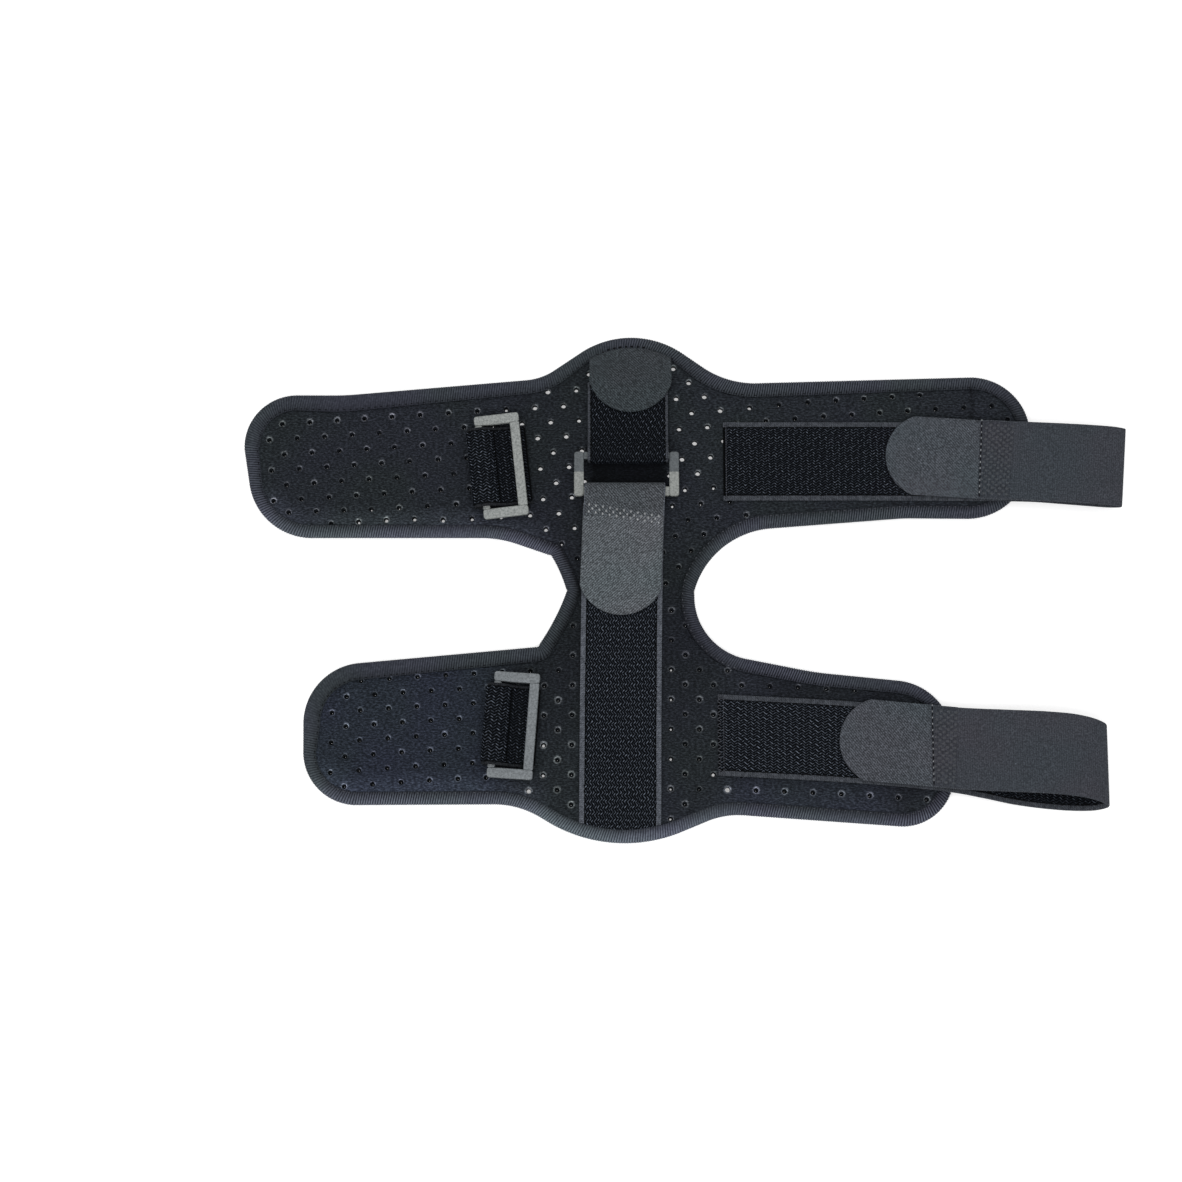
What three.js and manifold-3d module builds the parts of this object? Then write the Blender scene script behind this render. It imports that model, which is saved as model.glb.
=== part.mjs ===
// Night splint laid open flat: a perforated four-winged body with a bound edge, three rings in
// their keepers and three pile straps with hook tabs. Millimetres, +Z up, X along the wings,
// origin on the back of the waist.
import * as THREE from "three";
import { LoftGeometry } from "three/addons/geometries/LoftGeometry.js";
import { mergeVertices } from "three/addons/utils/BufferGeometryUtils.js";
import Module from "manifold-3d";

const kernel = await Module();
kernel.setup();

// Driving dimensions
const GAP = 0.3;
const BODY_THICK = 4;
const ARC_STEP = 16;

const TAPE_LIP = 1.1;
const TAPE_NOSE = 0.9;
const TAPE_BACK = 1.4;
const TONGUE_LAP = 1.5;

const HOLE_DIAMETER = 2.4;
const HOLE_MARGIN = 2.6;

const STRAP_WIDTH = 38;
const STRAP_BASE = 0.85;
const STRAP_PILE = 0.45;
const SELVEDGE = 2.6;
const STRAP_THICK = STRAP_BASE + STRAP_PILE;
const STEPS_PER_ROW = 3;

const TAB_THICK = 1.2;
const TAB_NOSE_RADIUS = 20.4;
const PAD_WIDTH = 39;

const RING_THICK = 2.8;
const RING_LENGTH = 49.4;
const RING_WINDOW = 40.2;
const RING_CORNER = 1.6;
const RING_CHAMFER = 0.5;
const HINGE_BAR = 3.6;
const PULL_BAR = 4.5;
const RING_SLOT = 13.1;
const RING_REST_TILT = 2.9;
const LOOP_RADIUS = 2.4;

// Levels worked out from the thicknesses
const STRAP_LEVEL = BODY_THICK + GAP + STRAP_THICK / 2;
const UPPER_LEVEL = STRAP_LEVEL + STRAP_THICK + GAP;
const TAB_LEVEL = BODY_THICK + 2 * GAP + STRAP_THICK;
const END_LEVEL = TAB_LEVEL + TAB_THICK + GAP + STRAP_THICK / 2;
const AXIS_LEVEL = STRAP_LEVEL + STRAP_THICK / 2 + LOOP_RADIUS;
const BAR_SPACING = RING_SLOT + (HINGE_BAR + PULL_BAR) / 2;

// The edge of the body, anticlockwise from the top: corner, rounding radius, width of the edge tape
const OUTLINE = [
  { x: 2.5, y: 132, round: 42.5, tape: 6 },
  { x: -40.5, y: 102.5, round: 28.5, tape: 7 },
  { x: -134, y: 94.4, round: 119, tape: 8.2 },
  { x: -181.5, y: 94.5, round: 24.5, tape: 7.6 },
  { x: -181, y: 68, round: 20, tape: 6.8 },
  { x: -174, y: 25.5, round: 30.5, tape: 6 },
  { x: -60, y: 25.5, round: 52, tape: 6 },
  { x: -35.5, y: 17, round: 1.5, tape: 6 },
  { x: -28.4, y: 0, round: 1.5, tape: 6 },
  { x: -41.8, y: -26.8, round: 1.5, tape: 7 },
  { x: -151, y: -36.5, round: 28, tape: 8 },
  { x: -150, y: -100.5, round: 25, tape: 6 },
  { x: -50.5, y: -100, round: 41.5, tape: 6 },
  { x: -7, y: -126, round: 69, tape: 6 },
  { x: 45, y: -104.5, round: 37, tape: 6 },
  { x: 150.5, y: -112, round: 24, tape: 6 },
  { x: 152, y: -45, round: 28, tape: 6 },
  { x: 87.5, y: -38.5, round: 140, tape: 6.2 },
  { x: 32, y: -27.5, round: 30, tape: 6.4 },
  { x: 31.5, y: 0, round: 1.5, tape: 6.2 },
  { x: 40.5, y: 28, round: 41, tape: 6.5 },
  { x: 131, y: 35, round: 94, tape: 6 },
  { x: 190, y: 34.5, round: 30.5, tape: 6 },
  { x: 192, y: 104, round: 27.5, tape: 6 },
  { x: 48, y: 100, round: 43, tape: 7 },
];

// Perforations in the upper and the lower half, one hole in four: first hole, pitch in a row, spacing
// of the rows, slope and bend of a row, lean of the columns
const HOLES = [
  { half: 1, x: 4.8, y: 2.3, pitch: 26.64, row: 14.8, slope: 0.067, bend: 0, lean: -0.089 },
  { half: -1, x: -5.5, y: -9.4, pitch: 26.28, row: 13.94, slope: 0.0055, bend: -0.0003, lean: 0.01 },
];

// Middle lines of the straps, from the sewn end round the fold: distance along, sideways and height,
// and the turn of the crosswise direction where it is not square to that
const UPPER_RIGHT_ROWS = [
  { along: 45.5, side: 61.8, up: STRAP_LEVEL },
  { along: 120, side: 61.8, up: STRAP_LEVEL },
  { along: 180, side: 61.5, up: STRAP_LEVEL },
  { along: 193, side: 61.1, up: STRAP_LEVEL, turn: -1.2 },
  { along: 206, side: 60.4, up: 3.8, turn: -2.8 },
  { along: 219.5, side: 59.6, up: 2.6, turn: -4.2 },
  { along: 229.5, side: 58.8, up: 3.1, turn: -4.7 },
  { along: 233.9, side: 58.4, up: 5.8, turn: -4.7 },
  { along: 229.5, side: 58.6, up: 8.5, turn: -4.7 },
  { along: 219.5, side: 59.2, up: 9.7, turn: -4.5 },
  { along: 206, side: 60, up: 9.7, turn: -4.2 },
  { along: 192, side: 60.8, up: 9, turn: -3.9 },
  { along: 180, side: 61.5, up: END_LEVEL, turn: -3.5 },
  { along: 166, side: 62.4, up: END_LEVEL, turn: -3.5 },
];
const LOWER_RIGHT_ROWS = [
  { along: 42, side: -68, up: STRAP_LEVEL },
  { along: 105, side: -71.5, up: STRAP_LEVEL },
  { along: 142, side: -74.8, up: STRAP_LEVEL },
  { along: 154, side: -76.5, up: STRAP_LEVEL },
  { along: 166, side: -78.7, up: 3.7 },
  { along: 179, side: -81.2, up: 2 },
  { along: 193, side: -83, up: 1.2 },
  { along: 207, side: -84, up: 1.4 },
  { along: 217, side: -83.8, up: 3 },
  { along: 221.3, side: -82.6, up: 6.6 },
  { along: 217, side: -80.6, up: 10.2 },
  { along: 207, side: -78.3, up: 11.6 },
  { along: 194, side: -77, up: 11.5 },
  { along: 176, side: -76, up: 10 },
  { along: 162, side: -75.3, up: 8.6 },
  { along: 152, side: -74.6, up: END_LEVEL },
  { along: 140.5, side: -73.3, up: END_LEVEL },
];
// The middle strap runs up the body, so its rows are given along Y, with side to the left of that
const CENTRE_ROWS = [
  { along: -116, side: 3.6, up: STRAP_LEVEL },
  { along: -52, side: 3.1, up: STRAP_LEVEL },
  { along: 10, side: 2.2, up: STRAP_LEVEL },
  { along: 44, side: 1.1, up: STRAP_LEVEL },
  { along: 47.8, side: 1, up: STRAP_LEVEL },
  { along: 49.6, side: 1, up: 5.7 },
  { along: 50.3, side: 1, up: 7.5 },
  { along: 49.6, side: 1, up: 9.3 },
  { along: 47.8, side: 1, up: 10.1 },
  { along: 44.5, side: 1.1, up: 10.1 },
  { along: 40.5, side: 1.3, up: END_LEVEL + 0.6 },
  { along: 35, side: 1.6, up: END_LEVEL },
];

// Where the rings' hinge bars lie, how far they are turned, how far their keepers reach past the
// bar, and how much slack the loop has
const LEFT_RINGS = [
  { name: "upper_left", x: -67.9, y: 57.9, turn: 6.2, reach: 23.5, slack: 2.6 },
  { name: "lower_left", x: -61.5, y: -63.5, turn: -4.2, reach: 22.5, slack: 1.6 },
];
const CENTRE_RING = { x: -0.2, y: 63.8, turn: -90, tilt: -1.6 };
const CENTRE_KEEPER = { x: 0.5, y: 63.8, turn: 90, reach: 36, slack: 0 };

// The tabs: middle of the seam, direction of the round end, length to it and length under the strap
const TABS = [
  { name: "upper_right_tab", x: 166, y: 62.4, turn: 176.5, length: 44, tail: 13.5 },
  { name: "lower_right_tab", x: 140.5, y: -73.3, turn: 174.8, length: 42.5, tail: 11 },
  { name: "centre_tab", x: -1.8, y: 35, turn: -92.2, length: 47, tail: 6 },
];
const TOP_PAD = { x: 1.8, tip: 85, top: 118 };

// Materials
const fabric = (color) => new THREE.MeshStandardMaterial({ color, roughness: 0.95 });
const BODY_CLOTH = fabric(0x1f2126);
const EDGE_TAPE = fabric(0x34363c);
const PILE_TAPE = fabric(0x15161a);
const GREY_BACKING = fabric(0x4c5052);
const RING_PLASTIC = new THREE.MeshStandardMaterial({ color: 0x85878a, roughness: 0.55 });

const radians = THREE.MathUtils.degToRad;

// Closed solid from a geometry, and back again
function toSolid(geometry) {
  const bare = new THREE.BufferGeometry();
  bare.setAttribute("position", geometry.getAttribute("position"));
  if (geometry.index) bare.setIndex(geometry.index);
  const welded = mergeVertices(bare, 1e-4);
  const vertProperties = Float32Array.from(welded.getAttribute("position").array);
  const triVerts = Uint32Array.from(welded.index.array);
  return new kernel.Manifold(new kernel.Mesh({ numProp: 3, vertProperties, triVerts }));
}

function fromSolid(solid) {
  const mesh = solid.getMesh();
  const geometry = new THREE.BufferGeometry();
  geometry.setAttribute("position", new THREE.BufferAttribute(mesh.vertProperties, 3));
  geometry.setIndex(new THREE.BufferAttribute(mesh.triVerts, 1));
  geometry.computeVertexNormals();
  return geometry;
}

function piece(name, geometry, material) {
  const mesh = new THREE.Mesh(geometry, material);
  mesh.name = name;
  return mesh;
}

// Walk round the outline: each corner becomes an arc, and every stop keeps the inward direction
// and the tape's width, so that any inset of the edge is one step along it
function walkOutline(corners) {
  const stops = [];
  corners.forEach((corner, i) => {
    const before = corners[(i + corners.length - 1) % corners.length];
    const after = corners[(i + 1) % corners.length];
    const from = Math.atan2(corner.y - before.y, corner.x - before.x);
    const to = Math.atan2(after.y - corner.y, after.x - corner.x);
    const turn = Math.atan2(Math.sin(to - from), Math.cos(to - from));
    const radius = corner.round * Math.sign(turn);
    const back = corner.round * Math.tan(Math.abs(turn) / 2);
    const startX = corner.x - back * Math.cos(from);
    const startY = corner.y - back * Math.sin(from);
    const steps = Math.max(1, Math.ceil(Math.abs(turn) / radians(ARC_STEP)));
    for (let k = 0; k <= steps; k++) {
      const heading = from + (turn * k) / steps;
      const inX = -Math.sin(heading);
      const inY = Math.cos(heading);
      const x = startX + radius * (-Math.sin(from) - inX);
      const y = startY + radius * (Math.cos(from) - inY);
      stops.push({ x, y, inX, inY, tape: corner.tape });
    }
  });
  return stops;
}

const EDGE = walkOutline(OUTLINE);

// The edge moved inwards by a distance that may depend on the tape's width there
function inset(distance) {
  return EDGE.map((stop) => {
    const d = distance(stop.tape);
    return new THREE.Vector2(stop.x + d * stop.inX, stop.y + d * stop.inY);
  });
}

function slab(shape, bottom, height, curveSegments = 4) {
  const options = { depth: height, bevelEnabled: false, curveSegments };
  return new THREE.ExtrudeGeometry(shape, options).translate(0, 0, bottom);
}

const fieldEdge = inset((tape) => tape + GAP);

// Is a point inside the field, and further than margin from its edge?
function insideField(x, y, margin) {
  let inside = false;
  let nearest = Infinity;
  const point = new THREE.Vector3(x, y, 0);
  const line = new THREE.Line3();
  const foot = new THREE.Vector3();
  fieldEdge.forEach((a, i) => {
    const b = fieldEdge[(i + 1) % fieldEdge.length];
    line.start.set(a.x, a.y, 0);
    line.end.set(b.x, b.y, 0);
    nearest = Math.min(nearest, line.closestPointToPoint(point, true, foot).distanceTo(point));
    const crosses = a.y > y !== b.y > y;
    if (crosses && x < a.x + ((y - a.y) * (b.x - a.x)) / (b.y - a.y)) inside = !inside;
  });
  return inside && nearest > margin;
}

// Staggered rows of holes, counted outwards from the waist
function perforations() {
  const holes = [];
  const reach = 16;
  for (const set of HOLES) {
    for (let count = 0; count < reach; count++) {
      const row = count * set.half;
      for (let place = -reach; place <= reach; place++) {
        const x = set.x + set.pitch * (place + row / 2) + set.lean * set.row * row;
        const y = set.y + set.row * row + set.slope * x + set.bend * x * x;
        if (insideField(x, y, HOLE_DIAMETER / 2 + HOLE_MARGIN)) holes.push({ x, y });
      }
    }
  }
  return holes;
}

// Body: a thick perforated field with a thin tongue all round that the edge tape grips
function bodyGeometry() {
  const field = new THREE.Shape(fieldEdge);
  for (const { x, y } of perforations()) {
    field.holes.push(new THREE.Path().absarc(x, y, HOLE_DIAMETER / 2, 0, 2 * Math.PI, true));
  }
  const tongue = new THREE.Shape(inset(() => TAPE_BACK + GAP));
  tongue.holes.push(new THREE.Path(inset((tape) => tape + GAP + TONGUE_LAP).reverse()));
  const tongueBottom = TAPE_LIP + GAP;
  const tongueHeight = BODY_THICK - 2 * tongueBottom;
  const thick = toSolid(slab(field, 0, BODY_THICK, 3));
  return fromSolid(thick.add(toSolid(slab(tongue, tongueBottom, tongueHeight))));
}

// Edge tape: a folded section carried round the whole outline
function bindingGeometry() {
  const top = BODY_THICK;
  const sections = EDGE.map((stop) => {
    const profile = [
      [TAPE_NOSE, 0],
      [stop.tape, 0],
      [stop.tape, TAPE_LIP],
      [TAPE_BACK, TAPE_LIP],
      [TAPE_BACK, top - TAPE_LIP],
      [stop.tape, top - TAPE_LIP],
      [stop.tape, top],
      [TAPE_NOSE, top],
      [0, top - TAPE_NOSE],
      [0, TAPE_NOSE],
    ];
    return profile.map(([d, z]) => new THREE.Vector3(stop.x + d * stop.inX, stop.y + d * stop.inY, z));
  });
  sections.push(sections[0]);
  return fromSolid(toSolid(new LoftGeometry(sections)));
}

// Band of tape along a middle line: a woven base with selvedges and a raised field of pile. The pile
// is inside the fold of a strap and outside the loop of a keeper, because the two run opposite ways
function bandGeometry(rows) {
  const points = rows.map((row) => new THREE.Vector3(row.along, row.side, row.up));
  const line = new THREE.CatmullRomCurve3(points, false, "centripetal");
  const count = (rows.length - 1) * STEPS_PER_ROW;
  const half = STRAP_WIDTH / 2;
  const low = -STRAP_THICK / 2;
  const step = low + STRAP_BASE;
  const high = STRAP_THICK / 2;
  const profile = [
    [-half, low],
    [half, low],
    [half, step],
    [half - SELVEDGE, step],
    [half - SELVEDGE - 0.3, high],
    [SELVEDGE + 0.3 - half, high],
    [SELVEDGE - half, step],
    [-half, step],
  ];
  const upright = new THREE.Vector3(0, 0, 1);
  const sections = [];
  for (let k = 0; k <= count; k++) {
    const middle = line.getPoint(k / count);
    const tangent = line.getTangent(k / count);
    const row = Math.min(Math.floor(k / STEPS_PER_ROW), rows.length - 2);
    const from = rows[row].turn ?? 0;
    const to = rows[row + 1].turn ?? 0;
    const turn = THREE.MathUtils.lerp(from, to, k / STEPS_PER_ROW - row);
    const across = new THREE.Vector3(0, 1, 0).applyAxisAngle(upright, radians(turn));
    const normal = new THREE.Vector3().crossVectors(tangent, across).normalize();
    sections.push(
      profile.map(([s, n]) => middle.clone().addScaledVector(across, s).addScaledVector(normal, n))
    );
  }
  return fromSolid(toSolid(new LoftGeometry(sections, { capStart: true, capEnd: true })));
}

// Keeper: flat on the body, round the bar, down again and back over itself
function keeperRows(reach, slack) {
  const radius = LOOP_RADIUS + STRAP_THICK / 2;
  const rows = [
    { along: reach, side: 0, up: STRAP_LEVEL },
    { along: 6, side: 0, up: STRAP_LEVEL },
    { along: 2 - slack, side: 0, up: STRAP_LEVEL },
  ];
  for (const angle of [-90, -45, 0, 45, 90]) {
    const along = -slack - radius * Math.cos(radians(angle));
    const up = AXIS_LEVEL + radius * Math.sin(radians(angle));
    rows.push({ along, side: 0, up });
  }
  rows.push({ along: 2.6, side: 0, up: AXIS_LEVEL + radius - 0.3 });
  rows.push({ along: 5.6, side: 0, up: UPPER_LEVEL + 2.2 });
  rows.push({ along: 8.6, side: 0, up: UPPER_LEVEL + 0.3 });
  rows.push({ along: 11.5, side: 0, up: UPPER_LEVEL });
  rows.push({ along: reach, side: 0, up: UPPER_LEVEL });
  return rows;
}

// Ring: flat frame with its hinge bar on the Y axis, chamfered all round
function ringGeometry() {
  const left = -HINGE_BAR / 2 + RING_CHAMFER;
  const right = BAR_SPACING + PULL_BAR / 2 - RING_CHAMFER;
  const top = RING_LENGTH / 2 - RING_CHAMFER;
  const frame = roundedBox(left, -top, right, top, RING_CORNER - RING_CHAMFER);
  const windowLeft = HINGE_BAR / 2 - RING_CHAMFER;
  const windowRight = windowLeft + RING_SLOT + 2 * RING_CHAMFER;
  const windowTop = RING_WINDOW / 2 + RING_CHAMFER;
  frame.holes.push(roundedBox(windowLeft, -windowTop, windowRight, windowTop, 1.2));
  const geometry = new THREE.ExtrudeGeometry(frame, {
    depth: RING_THICK - 2 * RING_CHAMFER,
    bevelThickness: RING_CHAMFER,
    bevelSize: RING_CHAMFER,
    bevelSegments: 1,
    curveSegments: 1,
  });
  return geometry.translate(0, 0, RING_CHAMFER - RING_THICK / 2);
}

function roundedBox(x0, y0, x1, y1, r) {
  const shape = new THREE.Shape();
  shape.absarc(x1 - r, y1 - r, r, 0, Math.PI / 2);
  shape.absarc(x0 + r, y1 - r, r, Math.PI / 2, Math.PI);
  shape.absarc(x0 + r, y0 + r, r, Math.PI, 1.5 * Math.PI);
  shape.absarc(x1 - r, y0 + r, r, 1.5 * Math.PI, 2 * Math.PI);
  return shape;
}

// Tab outline: square at the tail, an arc at the other end, pointing along +X
function tabShape(length, tail, width) {
  const half = width / 2;
  const swing = Math.asin(half / TAB_NOSE_RADIUS);
  const shape = new THREE.Shape();
  shape.moveTo(-tail, -half);
  shape.absarc(length - TAB_NOSE_RADIUS, 0, TAB_NOSE_RADIUS, -swing, swing);
  shape.lineTo(-tail, half);
  return shape;
}

// Keep only what lies inside the field, so that a sewn end stops at the tape
function trimToField(geometry) {
  const field = new THREE.Shape(fieldEdge);
  return fromSolid(toSolid(geometry).intersect(toSolid(slab(field, -1, 40))));
}

// Pad over the centre keeper: bends down to the body at the edge tape
function padGeometry() {
  const rest = UPPER_LEVEL + STRAP_THICK / 2 + GAP;
  const drop = rest - BODY_THICK - GAP;
  const shape = tabShape(TOP_PAD.top - TOP_PAD.tip, 0, PAD_WIDTH);
  const side = new THREE.Shape();
  const long = TOP_PAD.top - TOP_PAD.tip;
  side.moveTo(-1, 0);
  side.lineTo(16, 0);
  side.lineTo(20.5, -drop);
  side.lineTo(long + 1, -drop);
  side.lineTo(long + 1, TAB_THICK - drop);
  side.lineTo(21, TAB_THICK - drop);
  side.lineTo(16.5, TAB_THICK);
  side.lineTo(-1, TAB_THICK);
  const strip = slab(side, -PAD_WIDTH, 2 * PAD_WIDTH);
  strip.rotateX(Math.PI / 2);
  const plan = slab(shape, -10, 20, 8);
  plan.rotateZ(Math.PI).translate(long, 0, 0);
  const pad = fromSolid(toSolid(strip).intersect(toSolid(plan)));
  return pad.rotateZ(Math.PI / 2).translate(TOP_PAD.x, TOP_PAD.tip, rest);
}

function placed(geometry, { x, y, turn }, z = 0) {
  return geometry.rotateZ(radians(turn)).translate(x, y, z);
}

// Ring turned about its hinge bar by its rest tilt, then set in its place
function ringAt(place, tilt) {
  return placed(ringGeometry().rotateY(-radians(tilt)), place, AXIS_LEVEL);
}

function keeperAt(place) {
  return placed(bandGeometry(keeperRows(place.reach, place.slack)), place);
}

const splint = new THREE.Group();
splint.name = "night_splint";
splint.add(piece("body_panel", bodyGeometry(), BODY_CLOTH));
splint.add(piece("edge_binding", bindingGeometry(), EDGE_TAPE));

for (const place of LEFT_RINGS) {
  splint.add(piece(`${place.name}_ring`, ringAt(place, RING_REST_TILT), RING_PLASTIC));
  splint.add(piece(`${place.name}_keeper`, keeperAt(place), PILE_TAPE));
}
splint.add(piece("centre_ring", ringAt(CENTRE_RING, CENTRE_RING.tilt), RING_PLASTIC));
splint.add(piece("centre_keeper", keeperAt(CENTRE_KEEPER), PILE_TAPE));
splint.add(piece("top_pad", trimToField(padGeometry()), GREY_BACKING));

splint.add(piece("upper_right_strap", bandGeometry(UPPER_RIGHT_ROWS), PILE_TAPE));
splint.add(piece("lower_right_strap", bandGeometry(LOWER_RIGHT_ROWS), PILE_TAPE));
const centreBand = bandGeometry(CENTRE_ROWS).rotateZ(Math.PI / 2);
splint.add(piece("centre_strap", trimToField(centreBand), PILE_TAPE));

for (const tab of TABS) {
  const flat = slab(tabShape(tab.length, tab.tail, STRAP_WIDTH), 0, TAB_THICK, 8);
  splint.add(piece(tab.name, placed(flat, tab, TAB_LEVEL), GREY_BACKING));
}

export default splint;
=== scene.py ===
"""Night splint laid open flat: a perforated foam body with a ribbed edge tape, three plastic rings
in their pile keepers, and three pile straps that are folded back under grey hook tabs."""
import math
from types import SimpleNamespace

import bpy
import numpy as np
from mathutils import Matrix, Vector
from mathutils.geometry import delaunay_2d_cdt


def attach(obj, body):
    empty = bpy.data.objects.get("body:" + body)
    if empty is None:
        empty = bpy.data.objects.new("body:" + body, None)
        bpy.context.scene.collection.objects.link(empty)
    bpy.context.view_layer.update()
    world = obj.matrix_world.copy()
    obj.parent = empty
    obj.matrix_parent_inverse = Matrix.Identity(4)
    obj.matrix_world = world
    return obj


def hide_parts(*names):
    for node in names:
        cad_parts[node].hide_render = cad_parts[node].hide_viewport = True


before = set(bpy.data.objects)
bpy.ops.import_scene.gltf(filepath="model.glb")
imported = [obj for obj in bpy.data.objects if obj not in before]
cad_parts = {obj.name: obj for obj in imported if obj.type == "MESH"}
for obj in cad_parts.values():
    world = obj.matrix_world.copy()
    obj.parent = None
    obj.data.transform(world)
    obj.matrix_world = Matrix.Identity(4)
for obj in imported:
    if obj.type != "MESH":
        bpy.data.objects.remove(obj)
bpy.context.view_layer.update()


def fields(names):
    """Columns of a table of numbers, by their names."""
    return [(name, float) for name in names.split()]


# Sizes in millimetres, as the solids have them
MM = 0.001
GAP = 0.3
BODY_THICK = 4.0
STRAP_WIDTH = 38.0
STRAP_BASE = 0.85
STRAP_PILE = 0.45
STRAP_THICK = STRAP_BASE + STRAP_PILE
TAB_THICK = 1.2
TAB_NOSE_RADIUS = 20.4
PAD_WIDTH = 39.0
PAD_MIDDLE = 1.8
PAD_TIP = 85.0
RING_THICK = 2.8
RING_LENGTH = 49.4
RING_WINDOW = 40.2
RING_SLOT = 13.1
RING_REST_TILT = 2.9
HINGE_BAR = 3.6
PULL_BAR = 4.5
LOOP_RADIUS = 2.4

STRAP_LEVEL = BODY_THICK + GAP + STRAP_THICK / 2
UPPER_LEVEL = STRAP_LEVEL + STRAP_THICK + GAP
TAB_LEVEL = BODY_THICK + 2 * GAP + STRAP_THICK
END_LEVEL = TAB_LEVEL + TAB_THICK + GAP + STRAP_THICK / 2
AXIS_LEVEL = STRAP_LEVEL + STRAP_THICK / 2 + LOOP_RADIUS

# The edge of the body, anticlockwise from the top: corner, rounding radius, width of the edge tape
OUTLINE = np.array(
    [
        (2.5, 132, 42.5, 6),
        (-40.5, 102.5, 28.5, 7),
        (-134, 94.4, 119, 8.2),
        (-181.5, 94.5, 24.5, 7.6),
        (-181, 68, 20, 6.8),
        (-174, 25.5, 30.5, 6),
        (-60, 25.5, 52, 6),
        (-35.5, 17, 1.5, 6),
        (-30.9, 8.9, 70, 6),
        (-28.2, 0, 0.8, 6),
        (-33.6, -13.9, 110, 6.5),
        (-41.8, -26.5, 1.5, 7),
        (-151, -36.5, 28, 8),
        (-150, -100.5, 25, 6),
        (-50.5, -100, 41.5, 6),
        (-7, -126, 69, 6),
        (45, -104.5, 37, 6),
        (150.5, -112, 24, 6),
        (152, -45, 28, 6),
        (87.5, -38.5, 140, 6.2),
        (32, -27.5, 30, 6.4),
        (31.5, 0, 1.5, 6.2),
        (40.5, 28, 41, 6.5),
        (131, 35, 94, 6),
        (190, 34.5, 30.5, 6),
        (192, 104, 27.5, 6),
        (48, 100, 43, 7),
    ],
    dtype=fields("x y round tape"),
)
ARC_POINTS = 60
TAPE_MIDDLE = 4.0
TAPE_USUAL = 6.0
# The tape grips a thin rim of the body between two heights; the rim is tucked in by this much
RIM_LOW = 1.25
RIM_HIGH = 2.75
TAPE_TUCK = 1.8
CREASE_X = 163.8

# Perforation: which half, its first row, first hole, pitch in a row, spacing of the rows, slope and
# bend of a row, lean of the columns
HOLES = np.array(
    [
        (1, 0, 4.8, 2.3, 13.32, 7.4, 0.067, 0, -0.089),
        (-1, -1, -5.5, -9.4, 13.14, 6.97, 0.0055, -0.0003, 0.01),
    ],
    dtype=fields("half first x y pitch row slope bend lean"),
)
HOLE_ROWS = 20
HOLE_PLACES = 40
HOLE_RADIUS = 1.2
HOLE_SIDES = 14
HOLE_REACH = 230
HOLE_MARGIN = 0.4
# How far the rows of the upper wings are pulled: right wing, left wing, up at the left wing's end
RIGHT_PULL = np.array([1.9, 1.5])
LEFT_PULL = 1.7
LEFT_END_LIFT = 2.0
# Single holes that light comes up through: place and share of light
LIT_HOLES = np.array(
    [(48, -93, 1), (41.5, -86.5, 0.7), (-46.8, -95, 0.9), (-39.2, -74, 0.5), (-39.7, -88.5, 0.5)]
)

# Middle lines of the straps from the sewn end round the fold, with the crosswise turn
ROW = fields("along side up turn")
UPPER_RIGHT_ROWS = np.array(
    [
        (45.5, 61.8, STRAP_LEVEL, 0),
        (120, 61.8, STRAP_LEVEL, 0),
        (180, 61.5, STRAP_LEVEL, 0),
        (193, 61.1, STRAP_LEVEL, -1.2),
        (206, 60.4, 3.8, -2.8),
        (219.5, 59.6, 2.6, -4.2),
        (229.5, 58.8, 3.1, -4.7),
        (233.9, 58.4, 5.8, -4.7),
        (229.5, 58.6, 8.5, -4.7),
        (219.5, 59.2, 9.7, -4.5),
        (206, 60, 9.7, -4.2),
        (192, 60.8, 9, -3.9),
        (180, 61.5, END_LEVEL, -3.5),
        (166, 62.4, END_LEVEL, -3.5),
    ],
    dtype=ROW,
)
LOWER_RIGHT_ROWS = np.array(
    [
        (42, -68, STRAP_LEVEL, 0),
        (105, -71.5, STRAP_LEVEL, 0),
        (142, -74.8, STRAP_LEVEL, 0),
        (154, -76.5, STRAP_LEVEL, 0),
        (166, -78.7, 3.7, 0),
        (179, -81.2, 2, 0),
        (193, -83, 1.2, 0),
        (207, -84, 1.4, 0),
        (217, -83.8, 3, 0),
        (221.3, -82.6, 6.6, 0),
        (217, -80.6, 10.2, 0),
        (207, -78.3, 11.6, 0),
        (194, -77, 11.5, 0),
        (176, -76, 10, 0),
        (162, -75.3, 8.6, 0),
        (152, -74.6, END_LEVEL, 0),
        (140.5, -73.3, END_LEVEL, 0),
    ],
    dtype=ROW,
)
# The middle strap runs up the body, with its lower end tucked under the edge tape
CENTRE_ROWS = np.array(
    [
        (-114, 3.6, 2.9, 0),
        (-110.5, 3.6, 3.6, 0),
        (-106, 3.5, STRAP_LEVEL, 0),
        (-52, 3.1, STRAP_LEVEL, 0),
        (10, 2.2, STRAP_LEVEL, 0),
        (44, 1.1, STRAP_LEVEL, 0),
        (47.8, 1, STRAP_LEVEL, 0),
        (49.6, 1, 5.7, 0),
        (50.3, 1, 7.5, 0),
        (49.6, 1, 9.3, 0),
        (47.8, 1, 10.1, 0),
        (44.5, 1.1, 10.1, 0),
        (40.5, 1.3, END_LEVEL + 0.6, 0),
        (35, 1.6, END_LEVEL, 0),
    ],
    dtype=ROW,
)

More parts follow.
